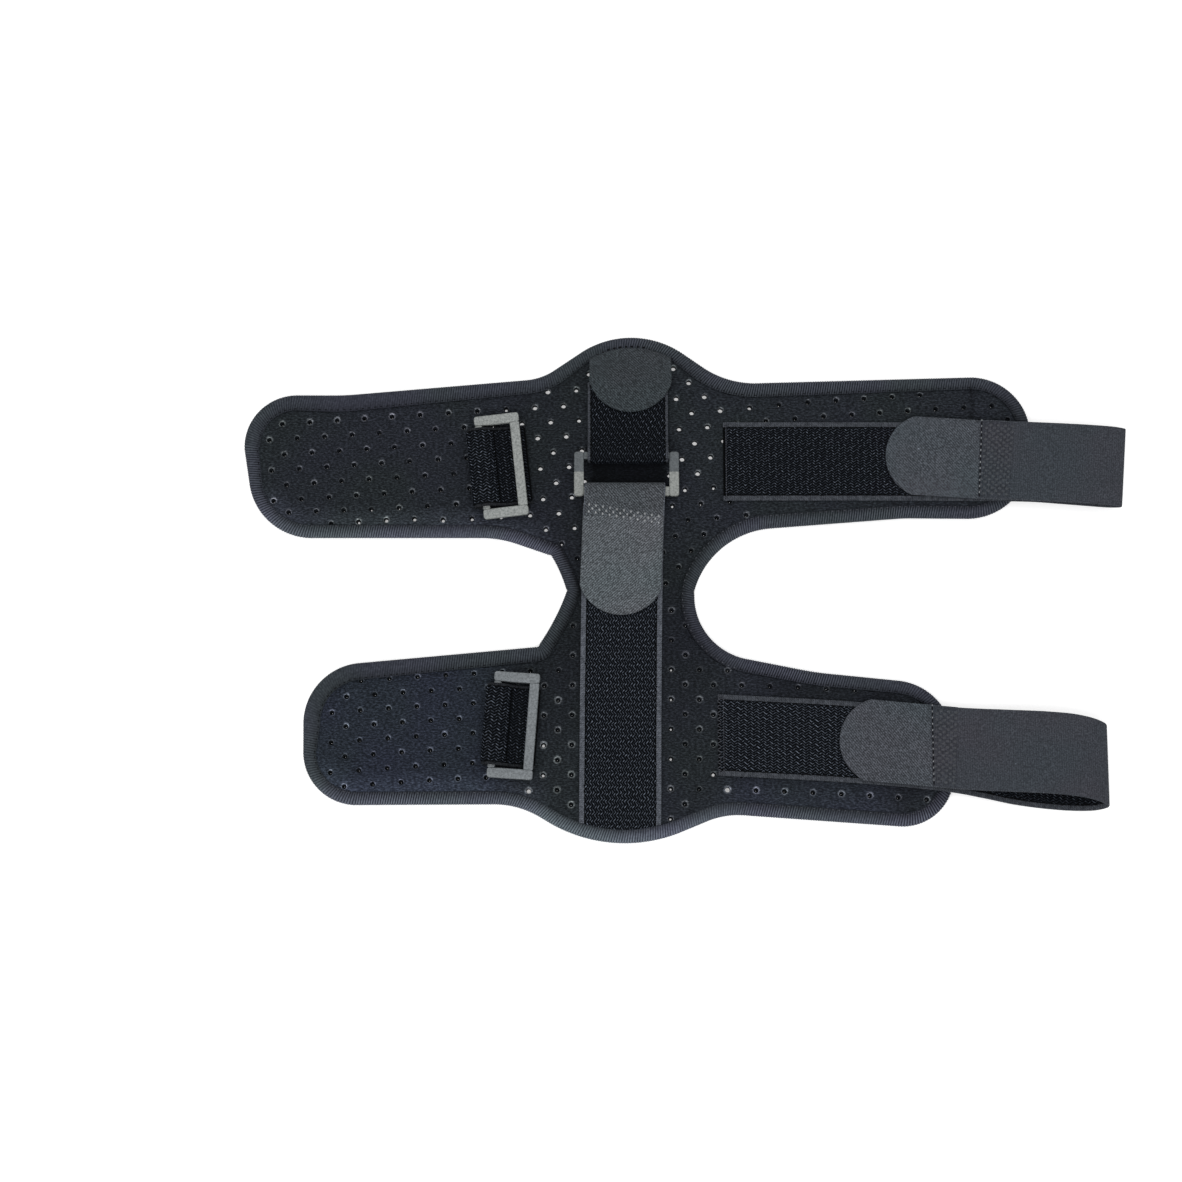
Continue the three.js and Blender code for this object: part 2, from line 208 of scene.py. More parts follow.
# The rings: hinge bar's place and turn, tilt about the bar, the keeper's place, reach and slack
RINGS = {
    "upper_left": SimpleNamespace(
        at=(-67.9, 57.9, 6.2),
        tilt=RING_REST_TILT,
        keeper=(-67.9, 57.9, 6.2),
        reach=21.8,
        slack=2.6,
        body="upper_ring",
    ),
    "lower_left": SimpleNamespace(
        at=(-61.5, -63.5, -4.2),
        tilt=RING_REST_TILT,
        keeper=(-61.5, -63.5, -4.2),
        reach=20.0,
        slack=1.6,
        body="lower_ring",
    ),
    "centre": SimpleNamespace(
        at=(-0.2, 63.8, -90),
        tilt=-1.6,
        keeper=(0.5, 63.8, 90),
        reach=36,
        slack=0,
        body="brace",
    ),
}
# The tabs: middle of the seam, direction of the round end, length to it, length under the strap
TABS = {
    "upper_right_tab": SimpleNamespace(at=(166, 62.4, 176.5), length=44, tail=13.5),
    "lower_right_tab": SimpleNamespace(at=(140.5, -73.3, 174.8), length=42.5, tail=11),
    "centre_tab": SimpleNamespace(at=(-1.8, 35, -92.2), length=47, tail=6),
}

# Fine work on the edge tape: ribs, rise over the sewn ends, stitches
RIB_PITCH = 1.15
RIB_SAMPLES = 3
RIB_HEIGHT = 0.17
RIB_LEAN = 0.22
SEWN_LIFT = 0.75
EDGE_STITCH_STEP = 2.9
EDGE_STITCH_LEVEL = 3.98
EDGE_STITCH_INSET = 0.75
STITCH_RADIUS = 0.22
# Fine work on the bands: selvedges, the pressed seam of a strap's end
SELVEDGE = 2.6
KEEPER_SELVEDGE = 1.4
BAND_STEP = 0.9
SEAM_DROP = 1.45
SEAM_PRESS = 6.0
SEAM_FADE = 1.5
# Width of a column of loops along the band and pitch of the loops in it, looser where a band bends
PILE_PITCH = (1.5, 1.25)
LOOSE_PITCH = (1.7, 1.4)
PILE_SLANT = 0.95
PILE_HEIGHT = 0.62
PILE_START = 0.6
# Grids of the pile: where it shows, in an open fold, under a tab, under a keeper's loop
PILE_GRID = 0.27
FOLD_GRID = 0.45
TAB_GRID = 0.7
KEEPER_GRID = 0.8
# Raised dots beside the seams: spacing of the rows, pitch in a row, lean, size, height
RIGHT_DOTS = (1.72, 2.75, -0.06, 0.98, 0.34)
BRIGHT_DOTS = (1.6, 3.3, -0.164, 0.72, 0.32)
DIM_DOTS = (1.6, 3.3, -0.164, 0.5, 0.16)
# Fillets of tabs and rings, and units of the cloth's own coordinates to a millimetre
SLAB_FILLET = 0.5
RING_FILLET = 0.55
UV_SCALE = 0.1
# Points at a time in a search for the nearest place
CHUNK = 4000


# Arrays to meshes


def grid_quads(rows, columns, ring_rows=False, ring_columns=False):
    """Corner numbers of the quads of a grid whose points are counted row by row. A ring joins its
    last row or column to its first."""
    row = np.arange(rows if ring_rows else rows - 1)[:, None]
    column = np.arange(columns if ring_columns else columns - 1)[None, :]
    row_after = (row + 1) % rows
    column_after = (column + 1) % columns
    corners = (
        row * columns + column,
        row * columns + column_after,
        row_after * columns + column_after,
        row_after * columns + column,
    )
    return np.stack(np.broadcast_arrays(*corners), -1).reshape(-1, 4)


def tube_faces(rows, columns, count=1):
    """Faces of equal closed tubes, one after another: the quads between the sections of each, and
    one many-sided face over its first section and over its last."""
    start = (np.arange(count) * rows * columns)[:, None, None]
    quads = grid_quads(rows, columns, ring_columns=True)
    first = np.arange(columns)[::-1]
    last = np.arange(columns) + (rows - 1) * columns
    caps = np.stack([first, last])
    return [(quads + start).reshape(-1, 4), (caps + start).reshape(-1, columns)]


def enclosed_volume(points, faces):
    """Sum of the signed cones from the origin over all faces, cut into fans of triangles."""
    total = 0.0
    for face in faces:
        for k in range(1, face.shape[1] - 1):
            a, b, c = points[face[:, 0]], points[face[:, k]], points[face[:, k + 1]]
            total += float(np.einsum("ij,ij->", a, np.cross(b, c)))
    return total


def make_piece(name, points, faces, materials, finish=None, uv=None, values=None, crease=40):
    """Mesh object from points in millimetres and face arrays, one array for each number of corners.

    finish holds a material number for every face, uv a pair for every point, values named numbers
    for every point. The faces are turned to point outwards, and edges sharper than crease stay
    sharp."""
    points = points.reshape(-1, 3)
    if enclosed_volume(points - points.mean(0), faces) < 0:
        faces = [face[:, ::-1] for face in faces]
    mesh = bpy.data.meshes.new(name)
    corners = np.concatenate([face.ravel() for face in faces])
    sizes = np.concatenate([np.full(len(face), face.shape[1]) for face in faces])
    mesh.vertices.add(len(points))
    mesh.vertices.foreach_set("co", (points * MM).ravel())
    mesh.loops.add(len(corners))
    mesh.loops.foreach_set("vertex_index", corners)
    mesh.polygons.add(len(sizes))
    mesh.polygons.foreach_set("loop_start", np.concatenate([[0], np.cumsum(sizes)[:-1]]))
    mesh.polygons.foreach_set("use_smooth", np.ones(len(sizes), bool))
    for material in materials:
        mesh.materials.append(material)
    if finish is not None:
        mesh.polygons.foreach_set("material_index", finish)
    mesh.update(calc_edges=True)
    if uv is not None:
        layer = mesh.uv_layers.new(name="cloth")
        layer.data.foreach_set("uv", uv.reshape(-1, 2)[corners].ravel())
    for label, numbers in (values or {}).items():
        attribute = mesh.attributes.new(label, "FLOAT", "POINT")
        attribute.data.foreach_set("value", numbers.ravel().astype(np.float32))
    mesh.validate()
    mesh.set_sharp_from_angle(angle=math.radians(crease))
    piece = bpy.data.objects.new(name, mesh)
    bpy.context.scene.collection.objects.link(piece)
    return piece


def joined(parts):
    """Points and faces of several meshes as one: every part's corner numbers move up by the points
    before it. parts is a list of (points, [faces])."""
    points = [p.reshape(-1, 3) for p, _ in parts]
    starts = np.concatenate([[0], np.cumsum([len(p) for p in points])[:-1]])
    faces = [face + start for (_, group), start in zip(parts, starts) for face in group]
    return np.concatenate(points), faces


def ripple(x, y, wavelength, seed):
    """Sum of a few plane waves of about one wavelength in seeded directions, mostly within -1 and
    1."""
    waves = 6
    rng = np.random.default_rng(seed)
    angle = rng.uniform(0, 2 * math.pi, waves)
    rate = 2 * math.pi / wavelength * rng.uniform(0.7, 1.4, waves)
    phase = rng.uniform(0, 2 * math.pi, waves)
    turn = x[..., None] * rate * np.cos(angle) + y[..., None] * rate * np.sin(angle) + phase
    return np.sin(turn).sum(-1) / math.sqrt(2 * waves)


def smooth(low, high, value):
    """Smooth step from 0 at low to 1 at high."""
    t = np.clip((value - low) / (high - low), 0, 1)
    return t * t * (3 - 2 * t)


def bell(value, middle, width):
    """Bell curve: 1 at the middle, falling with the square of the distance in widths."""
    return np.exp(-(((value - middle) / width) ** 2))


def placed(points, at, up=0.0):
    """Points turned about Z by the angle in at = (x, y, angle) and moved to x, y, up."""
    x, y, angle = at
    c, s = math.cos(math.radians(angle)), math.sin(math.radians(angle))
    turn = np.array([[c, s, 0], [-s, c, 0], [0, 0, 1]])
    return points @ turn + np.array([x, y, up])


def nearest(points, places):
    """Distance of plan points from the nearest of some places, and the number of that place. The
    points are taken in chunks, which keeps the table of distances small."""
    near, which = [], []
    for some in np.array_split(points, max(1, len(points) // CHUNK)):
        away = some[:, None, :] - places[None]
        square = np.einsum("ijk,ijk->ij", away, away)
        near.append(np.sqrt(square.min(1)))
        which.append(square.argmin(1))
    return np.concatenate(near), np.concatenate(which)


# The edge of the body


def edge_stops(spacing):
    """Evenly spaced stops round the edge. Every corner is an arc that is tangent to both of its
    sides, so the heading turns evenly along an arc and is constant between arcs. The spacing is
    measured on the middle line of the tape, and inward is the heading turned left."""
    corner = np.stack([OUTLINE["x"], OUTLINE["y"]], 1)
    side = np.roll(corner, -1, 0) - corner
    leaves = np.arctan2(side[:, 1], side[:, 0])
    comes = np.roll(leaves, 1)
    turn = (leaves - comes + math.pi) % (2 * math.pi) - math.pi
    back = OUTLINE["round"] * np.tan(np.abs(turn) / 2)
    start = corner - back[:, None] * np.stack([np.cos(comes), np.sin(comes)], 1)
    heading = comes[:, None] + turn[:, None] * np.linspace(0, 1, ARC_POINTS)
    radius = (OUTLINE["round"] * np.sign(turn))[:, None]
    x = (start[:, :1] + radius * (np.sin(heading) - np.sin(comes)[:, None])).ravel()
    y = (start[:, 1:] + radius * (np.cos(comes)[:, None] - np.cos(heading))).ravel()
    heading = np.unwrap(heading.ravel())
    tape = np.repeat(OUTLINE["tape"], ARC_POINTS)
    x, y, tape = (np.append(v, v[0]) for v in (x, y, tape))
    heading = np.append(heading, heading[0] + 2 * math.pi)
    middle_x = x - TAPE_MIDDLE * np.sin(heading)
    middle_y = y + TAPE_MIDDLE * np.cos(heading)
    reach = np.concatenate([[0], np.cumsum(np.hypot(np.diff(middle_x), np.diff(middle_y)))])
    count = int(round(reach[-1] / spacing))
    along = np.linspace(0, reach[-1], count, endpoint=False)
    turned = np.interp(along, reach, heading)
    return SimpleNamespace(
        at=np.stack([np.interp(along, reach, x), np.interp(along, reach, y)], 1),
        inward=np.stack([-np.sin(turned), np.cos(turned)], 1),
        ahead=np.stack([np.cos(turned), np.sin(turned)], 1),
        tape=np.interp(along, reach, tape),
        along=along,
        length=reach[-1],
    )


FINE_EDGE = edge_stops(1.0)


def from_edge(edge, depth):
    """Plan points at a depth in from the stops of an edge: stop + depth inward."""
    return edge.at + depth[:, None] * edge.inward


def depth_past_tape(points):
    """Distance of plan points from the inner edge of the tape, positive into the body: the step
    from the nearest stop along its inward direction, less the tape's width there."""
    stop = nearest(points, FINE_EDGE.at)[1]
    step = points - FINE_EDGE.at[stop]
    return np.einsum("ij,ij->i", step, FINE_EDGE.inward[stop]) - FINE_EDGE.tape[stop]


# The perforated body


def hole_centres():
    """Plan of the perforation: rows are counted outwards from the waist, each shifted by half a
    pitch, leaning by a share of the distance and bent into a shallow parabola. On the upper wings
    they are pulled outwards a little. Those clear of the tape stay, apart from the places by the
    crease and below the strap of the upper right wing and in the middle ring's window, which show
    none."""
    found = []
    for part in HOLES:
        row = part["half"] * np.arange(part["first"], HOLE_ROWS)[:, None]
        place = np.arange(-HOLE_PLACES, HOLE_PLACES + 1)[None, :]
        x = part["x"] + part["pitch"] * (place + row / 2) + part["lean"] * part["row"] * row
        y = part["y"] + part["row"] * row + part["slope"] * x + part["bend"] * x * x
        found.append(np.stack([x, y], -1).reshape(-1, 2))
    found = np.concatenate(found)
    x, y = found.T
    outwards = smooth(30, 90, x) * (y > 0)
    found = found + outwards[:, None] * RIGHT_PULL
    found[:, 0] -= LEFT_PULL * bell(x, -100, 50) * (y > 0)
    found[:, 1] += LEFT_END_LIFT * smooth(-80, -105, x) * smooth(40, 34, y) * (y > 0)
    x, y = found.T
    by_crease = (x > CREASE_X - 20) & (y > 91.5)
    below_strap = (x > 70) & (y > 0) & (y < 50)
    closed = by_crease | below_strap | (in_ring_window(x, y) > 0.5)
    found = found[(np.hypot(x, y) < HOLE_REACH) & ~closed]
    return found[depth_past_tape(found) > HOLE_MARGIN]


def in_ring_window(x, y):
    """1 in the middle ring's window, fading out at its border: there the knit has no holes and gets
    a painted shade.
    """
    return smooth(19.5, 17, np.abs(x - 0.5)) * smooth(43, 46, y) * smooth(70, 67, y)


def in_crease(x, y):
    """1 in the crease across the upper half of the upper right wing's end: a bell curve across
    it."""
    return bell(x, CREASE_X, 1.3) * smooth(80, 86, y)


def light_below(x, y):
    """How much light comes up through the holes: most round the middle of the upper half, and
    further down on its left, a little close to the middle strap's right side and along the lower
    edge of the upper left wing, some in a few single holes, none elsewhere."""
    upper = smooth(72, 50, np.abs(x - 4)) * smooth(22, 50, y + 0.35 * np.minimum(-x, 30))
    lower = 0.4 * smooth(5, 3, np.abs(x - 20)) * smooth(-25, -35, y)
    wing = 0.65 * smooth(41, 36, y) * smooth(15, 25, y)
    wing = wing * smooth(-132, -122, x) * smooth(-40, -60, x)
    single_x, single_y, share = LIT_HOLES.T[..., None]
    single = (share * smooth(4, 2, np.hypot(x - single_x, y - single_y))).max(0)
    return np.max([upper, lower, wing, single], axis=0)


def knit_painted_light_and_shade(x, y, depth, low_edge):
    """Painted light and shade of the knit over the plan: painted shade round the waist, on the left
    of the middle strap and in the crease, darker above the lower right strap and at that wing's
    end, and painted light beside the tape of the lower edges, most on the left wings."""
    waist = smooth(55, 20, np.abs(x - 4)) * bell(y, -18, 42)
    left_of_strap = smooth(-60, -48, x) * smooth(-5, -15, x) * smooth(-75, -60, y)
    above_strap_or_end = np.maximum(smooth(-85, -70, y), smooth(116, 130, x))
    lower_right = smooth(55, 75, x) * smooth(-15, -35, y) * above_strap_or_end
    left = smooth(-30, -50, x)
    right = smooth(30, 50, x) * smooth(-60, -80, y)
    # painted light on the knit beside the tape of the lower edges, which face the lamp
    beside_tape = (0.75 * left + 0.3 * right) * low_edge * smooth(10, 1, depth)
    # painted shade round the waist, beside the middle strap and in the crease
    darker = 0.32 * waist + 0.13 * left_of_strap + 0.3 * lower_right + 0.5 * in_crease(x, y)
    return 1 - darker + beside_tape


def body_blue(x, y):
    """Share of blue in the knit: full on the lower left wing, less along the lower edge of the
    lower right."""
    left = smooth(-45, -75, x) * smooth(-10, -40, y)
    right = 0.4 * smooth(38, 55, x) * smooth(-82, -92, y) * smooth(130, 105, x)
    return left + right


def painted_rim_highlight(plan, centres, hole, past_rim):
    """Painted highlight round the holes: it fades with the square of the distance past the rim and
    is strongest on the side away from the viewer. Each hole has its own strength. The rows beside
    the tape on the upper left and lower right wings and those on the left of the middle strap are
    stronger, those by the crease duller."""
    x, y = centres[hole].T
    away = (plan - centres[hole]) / (past_rim + HOLE_RADIUS)[:, None]
    facing = np.clip(away @ np.array([0.45, 0.9]), 0, 1)
    strength = np.random.default_rng(5).uniform(0.4, 1.2, len(centres))[hole]
    inner = smooth(75, 45, np.abs(x)) * smooth(15, -5, y)
    beside_tape = smooth(9, 6, depth_past_tape(centres))[hole]
    top_row = beside_tape * smooth(60, 75, y) * smooth(-60, -75, x)
    low_row = beside_tape * smooth(-78, -85, y) * smooth(35, 45, x)
    by_strap = smooth(-52, -42, x) * smooth(-12, -18, x) * smooth(-35, -50, y)
    by_crease = smooth(135, 145, x) * smooth(60, 70, y)
    strength = strength * (1 - 0.12 * inner) * (1 - 0.5 * by_crease)
    strength = strength + 0.8 * top_row + 0.35 * low_row + 0.25 * by_strap
    around = 0.4 + 0.15 * inner + 0.3 * np.maximum(low_row, by_strap) + (0.6 - 0.1 * inner) * facing
    return bell(past_rim, 0, 0.32 + 0.06 * inner) * around * strength


def body_plan(centres):
    """Plan of the body as points and triangles: a triangulation of the rim under the tape, the rims
    of the holes, rows of points beside both and along the crease, and an even field between them,
    without the triangles past the rim or in a hole."""
    coarse = edge_stops(2.2)
    rim = from_edge(coarse, coarse.tape - TAPE_TUCK)
    beside = np.concatenate([from_edge(coarse, coarse.tape + d) for d in (0.3, 1.5)])
    beside = beside[nearest(beside, centres)[0] > 1.75]
    angle = np.arange(HOLE_SIDES) * 2 * math.pi / HOLE_SIDES
    circle = np.stack([np.cos(angle), np.sin(angle)], 1)
    rings = (HOLE_RADIUS, 1.55, 2.3)
    hole_rims, *around = ((centres[:, None] + r * circle).reshape(-1, 2) for r in rings)
    around = np.concatenate(around)
    around = around[depth_past_tape(around) > 0.9 - TAPE_TUCK]
    step = 3.6
    u, v = np.meshgrid(np.arange(-55, 58), np.arange(-45, 46))
    field = np.stack([(u + 0.5 * (v % 2)) * step, v * step * 0.866], -1).reshape(-1, 2)
    field = field[depth_past_tape(field) > 2.6]
    field = field[nearest(field, centres)[0] > 3.2]
    u, v = np.meshgrid(np.arange(-2, 3), np.arange(84, 104, 1.5))
    crease = np.stack([CREASE_X + 1.2 * u, v], -1).reshape(-1, 2)
    crease = crease[(depth_past_tape(crease) > 0.6) & (nearest(crease, centres)[0] > 2.6)]
    plan = np.concatenate([rim, hole_rims, beside, around, field, crease])
    ring = np.arange(len(rim))
    spots = np.arange(len(hole_rims)).reshape(-1, HOLE_SIDES) + len(rim)
    rim_edges = np.stack([ring, np.roll(ring, -1)], 1)
    hole_edges = np.stack([spots, np.roll(spots, -1, 1)], -1).reshape(-1, 2)
    edges = np.concatenate([rim_edges, hole_edges])
    result = delaunay_2d_cdt(plan.tolist(), edges.tolist(), [], 0, 1e-4)
    plan, triangles = np.array(result[0]), np.array(result[2])
    middle = plan[triangles].mean(1)
    in_rim = depth_past_tape(middle) > -TAPE_TUCK
    triangles = triangles[in_rim & (nearest(middle, centres)[0] > 0.97 * HOLE_RADIUS)]
    used, flat = np.unique(triangles, return_inverse=True)
    return plan[used], flat.reshape(-1, 3)


def border_of(triangles, count):
    """Sides that only one triangle has, in its own direction."""
    sides = np.concatenate([triangles[:, [0, 1]], triangles[:, [1, 2]], triangles[:, [2, 0]]])
    keys = np.sort(sides, 1) @ np.array([count, 1])
    _, first, uses = np.unique(keys, return_index=True, return_counts=True)
    return sides[first[uses == 1]]


def body_surface():
    """The perforated body over its plan. The upper face is the thickness, less a groove beside the
    tape, narrower on the lower edges and the left ends, a dip that fades away from each rim and a
    crease, plus slow waves of the foam. The lower face mirrors the groove, and its rims close in
    where no light comes up from below. Walls with a ring of points just below the upper face join
    both."""
    centres = hole_centres()
    plan, triangles = body_plan(centres)
    x, y = plan.T
    depth = depth_past_tape(plan)
    distance, hole = nearest(plan, centres)
    past_rim = np.maximum(distance - HOLE_RADIUS, 0)
    faces_right, faces_up = FINE_EDGE.inward[nearest(plan, FINE_EDGE.at)[1]].T
    low_edge = smooth(0.1, 0.7, faces_up)
    soft = np.maximum(low_edge, smooth(0.4, 0.9, faces_right) * smooth(-80, -100, x))
    full = smooth(-0.5 - 0.1 * soft, 1.9 - soft, depth)
    waves = 0.1 * ripple(x, y, 42, 3) + 0.05 * ripple(x, y, 15, 4)
    swell = 0.12 * bell(depth, 6, 4)
    dip = 0.55 * np.exp(-past_rim / 0.45)
    crease = 0.4 * in_crease(x, y) * full
    upper = RIM_HIGH + (BODY_THICK - RIM_HIGH) * full + (waves + swell) * full - dip - crease
    lower = RIM_LOW * (1 - full) + 0.3 * np.exp(-past_rim / 0.35)
    wide = np.random.default_rng(7).uniform(0.68, 1.0, len(centres))[hole]
    open_share = 0.1 + 0.9 * wide * light_below(*centres[hole].T)
    on_rim = past_rim < 0.05
    closing = centres[hole] + open_share[:, None] * (plan - centres[hole])
    plan_below = np.where(on_rim[:, None], closing, plan)
    count = len(plan)
    border = border_of(triangles, count)
    bordering, place = np.unique(border, return_inverse=True)
    inside_wall = place.reshape(-1, 2) + 2 * count
    walls = [
        np.column_stack([border[:, 1], border[:, 0], inside_wall]),
        np.column_stack([inside_wall[:, ::-1], border + count]),
    ]
    layers = [(plan, upper), (plan_below, lower), (plan[bordering], upper[bordering] - 0.35)]
    points = np.concatenate([np.column_stack(layer) for layer in layers])
    nothing = np.zeros(count + len(bordering))
    values = {
        "rim": np.concatenate([painted_rim_highlight(plan, centres, hole, past_rim), nothing]),
        "window": np.concatenate([in_ring_window(x, y), nothing]),
        "tone": np.concatenate([knit_painted_light_and_shade(x, y, depth, low_edge), nothing + 1]),
        "blue": np.concatenate([body_blue(x, y), nothing]),
    }
    a, b, c = (plan[triangles[:, k]] for k in range(3))
    area = float(np.abs(np.cross(b - a, c - a)).sum() / 2)
    faces = [np.concatenate([triangles, triangles[:, ::-1] + count]), np.concatenate(walls)]
    return points, faces, values, area


# The edge tape


def near_sewn_ends(at):
    """1 where the tape runs over the top pad or the middle strap's lower end, fading out beside
    them."""
    pad = smooth(24, 20, np.abs(at[:, 0] - PAD_MIDDLE)) * smooth(95, 102, at[:, 1])
    strap = smooth(24, 20, np.abs(at[:, 0] + CENTRE_ROWS["side"][0])) * smooth(-95, -102, at[:, 1])
    return pad + strap


def tape_painted_light_and_shade(edge, width):
    """Painted light and shade of the tape, stop by stop and over the share of its width: painted
    light round the bottom and on the outer part of the lower edges, painted shade on the edges that
    face right, round the waist, towards the inner border and in the crease."""
    x, y = edge.at.T[..., None]
    right, up = edge.inward.T[..., None]
    inner = smooth(0.4, 1.0, width)
    outer = smooth(0.6, 0.0, width)
    downward = smooth(0.3, 0.9, up)
    lit = downward * (1 - smooth(20, 80, x) * smooth(-20, 20, y))
    bottom = smooth(62, 25, np.abs(x + 5)) * smooth(-96, -106, y)
    waist = smooth(55, 38, np.abs(x - 4)) * smooth(45, 25, np.abs(y))
    tone = 1 + 0.65 * bottom + lit * (0.1 + 0.17 * smooth(60, -20, x) + 0.45 * outer)
    tone = tone - 0.07 * smooth(0.1, 0.9, -up)
    tone = tone * (1 - (0.36 + 0.16 * downward) * inner) * (1 - 0.28 * smooth(0.35, 0.95, -right))
    tone = tone * (1 - waist * (0.22 * smooth(5, -5, x) + 0.32 * inner))
    return tone * (1 - 0.4 * inner * in_crease(x, y))


def tape_surface():
    """The edge tape: a folded section carried round the edge. Depth is measured in from the edge
    and scaled to the tape's width. Ribs are a wave along the edge that moves the section along its
    own normals, and each point is also moved ahead by a share of its depth, so that the ribs lean.
    They flatten out where the tape is broad."""
    ribs = round(FINE_EDGE.length / RIB_PITCH)
    edge = edge_stops(FINE_EDGE.length / (ribs * RIB_SAMPLES))
    ribs_here = np.arange(len(edge.along)) * 2 * math.pi / RIB_SAMPLES + 0.6
    broad = smooth(8.1, 6.6, edge.tape)
    uneven = 0.75 + 0.35 * ripple(edge.along, edge.along * 0, 60, 8)
    wave = np.sin(ribs_here) * (0.35 + 0.65 * broad) * np.clip(uneven, 0.3, 1.2)
    # share of the width, depth to add, height, share of the ribs, share of the lift
    section = np.array(
        [
            (1, 0, 0.3, 0, 0),
            (1, -0.5, 0, 0.3, 0),
            (0.5, 0, 0, 0.5, 0),
            (0, 1.2, 0.05, 0.7, 0),
            (0, 0.35, 0.55, 1, 0),
            (0, 0, 1.4, 1, 0),
            (0, 0, 2.6, 1, 0),
            (0, 0.35, 3.42, 1, 0),
            (0, 1.2, 3.95, 1, 0.3),
            (0.45, 0, 4.16, 1, 0.9),
            (0.72, 0, 4.12, 1, 1),
            (1, -0.55, 3.95, 0.8, 1),
            (1, 0, 3.5, 0.3, 1),
            (1, -0.6, 3.0, 0, 1),
            (0, 1.6, 2.8, 0, 0),
            (0, 1.6, 1.2, 0, 0),
            (1, -0.6, 0.95, 0, 0),
        ]
    )
    width, add, height, rib, lift = section.T
    usual_depth = add + TAPE_USUAL * width
    up, inwards = np.gradient(height), np.gradient(usual_depth)
    size = np.hypot(up, inwards) + 1e-6
    bulge = RIB_HEIGHT * wave[:, None] * rib
    raised = SEWN_LIFT * near_sewn_ends(edge.at)[:, None] * lift
    depth = edge.tape[:, None] * width + add
    depth_now = depth + bulge * (-up / size)
    z = np.maximum(height + bulge * (inwards / size) + raised, 0)
    lean = RIB_LEAN * (depth - TAPE_MIDDLE)
    plan = edge.at[:, None] + depth_now[..., None] * edge.inward[:, None]
    plan = plan + lean[..., None] * edge.ahead[:, None]
    points = np.concatenate([plan, z[..., None]], -1)
    steps = np.hypot(np.diff(height), np.diff(usual_depth))
    round_section = np.concatenate([[0], np.cumsum(steps)])
    uv = np.stack(np.broadcast_arrays(edge.along[:, None], round_section[None]), -1) * UV_SCALE
    faces = [grid_quads(len(edge.along), len(section), ring_rows=True, ring_columns=True)]
    # painted highlight: the rib crowns are lightened in colour
    shade = 0.5 + 0.5 * wave[:, None] * rib
    return points, faces, uv, {"rib": shade, "tone": tape_painted_light_and_shade(edge, width)}


# Bands of tape


def band_path(rows, at=(0, 0, 0), samples=40):
    """Smooth middle line through the rows, a centripetal spline: between two rows a point is a
    blend of the blends of their neighbours, weighted by the square roots of the distances. Rows are
    given along X and then placed. Distance along the line is its running length."""
    key = np.stack([rows["along"], rows["side"], rows["up"]], 1)
    key = np.concatenate([[2 * key[0] - key[1]], key, [2 * key[-1] - key[-2]]])
    gap = np.sqrt(np.linalg.norm(np.diff(key, axis=0), axis=1))
    t0 = np.zeros(len(gap) - 2)
    t1 = t0 + gap[:-2]
    t2 = t1 + gap[1:-1]
    t3 = t2 + gap[2:]
    share = np.linspace(0, 1, samples, endpoint=False)
    t = (t1[:, None] + (t2 - t1)[:, None] * share)[..., None]
    p0, p1, p2, p3 = (key[k : len(key) - 3 + k][:, None, :] for k in range(4))
    t0, t1, t2, t3 = (v[:, None, None] for v in (t0, t1, t2, t3))
    a = (p0 * (t1 - t) + p1 * (t - t0)) / (t1 - t0)
    b = (p1 * (t2 - t) + p2 * (t - t1)) / (t2 - t1)
    c = (p2 * (t3 - t) + p3 * (t - t2)) / (t3 - t2)
    d = (a * (t2 - t) + b * (t - t0)) / (t2 - t0)
    e = (b * (t3 - t) + c * (t - t1)) / (t3 - t1)
    line = ((d * (t2 - t) + e * (t - t1)) / (t2 - t1)).reshape(-1, 3)
    line = np.concatenate([line, key[-2:-1]])
    row = np.arange(len(line)) / samples
    turn = np.radians(np.interp(row, np.arange(len(rows)), rows["turn"]))
    across = placed(np.stack([-np.sin(turn), np.cos(turn), 0 * turn], 1), (0, 0, at[2]))
    reach = np.concatenate([[0], np.cumsum(np.linalg.norm(np.diff(line, axis=0), axis=1))])
    return SimpleNamespace(point=placed(line, at), across=across, reach=reach, length=reach[-1])


def band_frames(path, along):
    """Point, crosswise direction and normal at distances along a path. The normal is the heading
    crossed with the crosswise direction, and points into a strap's fold and out of a keeper's
    loop."""

    def at(distance, what):
        return np.stack([np.interp(distance, path.reach, what[:, k]) for k in range(3)], 1)

    look = 0.25
    point = at(along, path.point)
    across = at(along, path.across)
    before = at(np.maximum(along - look, 0), path.point)
    after = at(np.minimum(along + look, path.length), path.point)
    normal = np.cross(after - before, across)
    normal /= np.linalg.norm(normal, axis=1)[:, None]
    return point, across, normal


def spread_over(frames, t, n):
    """Points at crosswise distance t and height n over the middle line: point + t across + n
    normal."""
    point, across, normal = frames
    return point[:, None] + t[..., None] * across[:, None] + n[..., None] * normal[:, None]


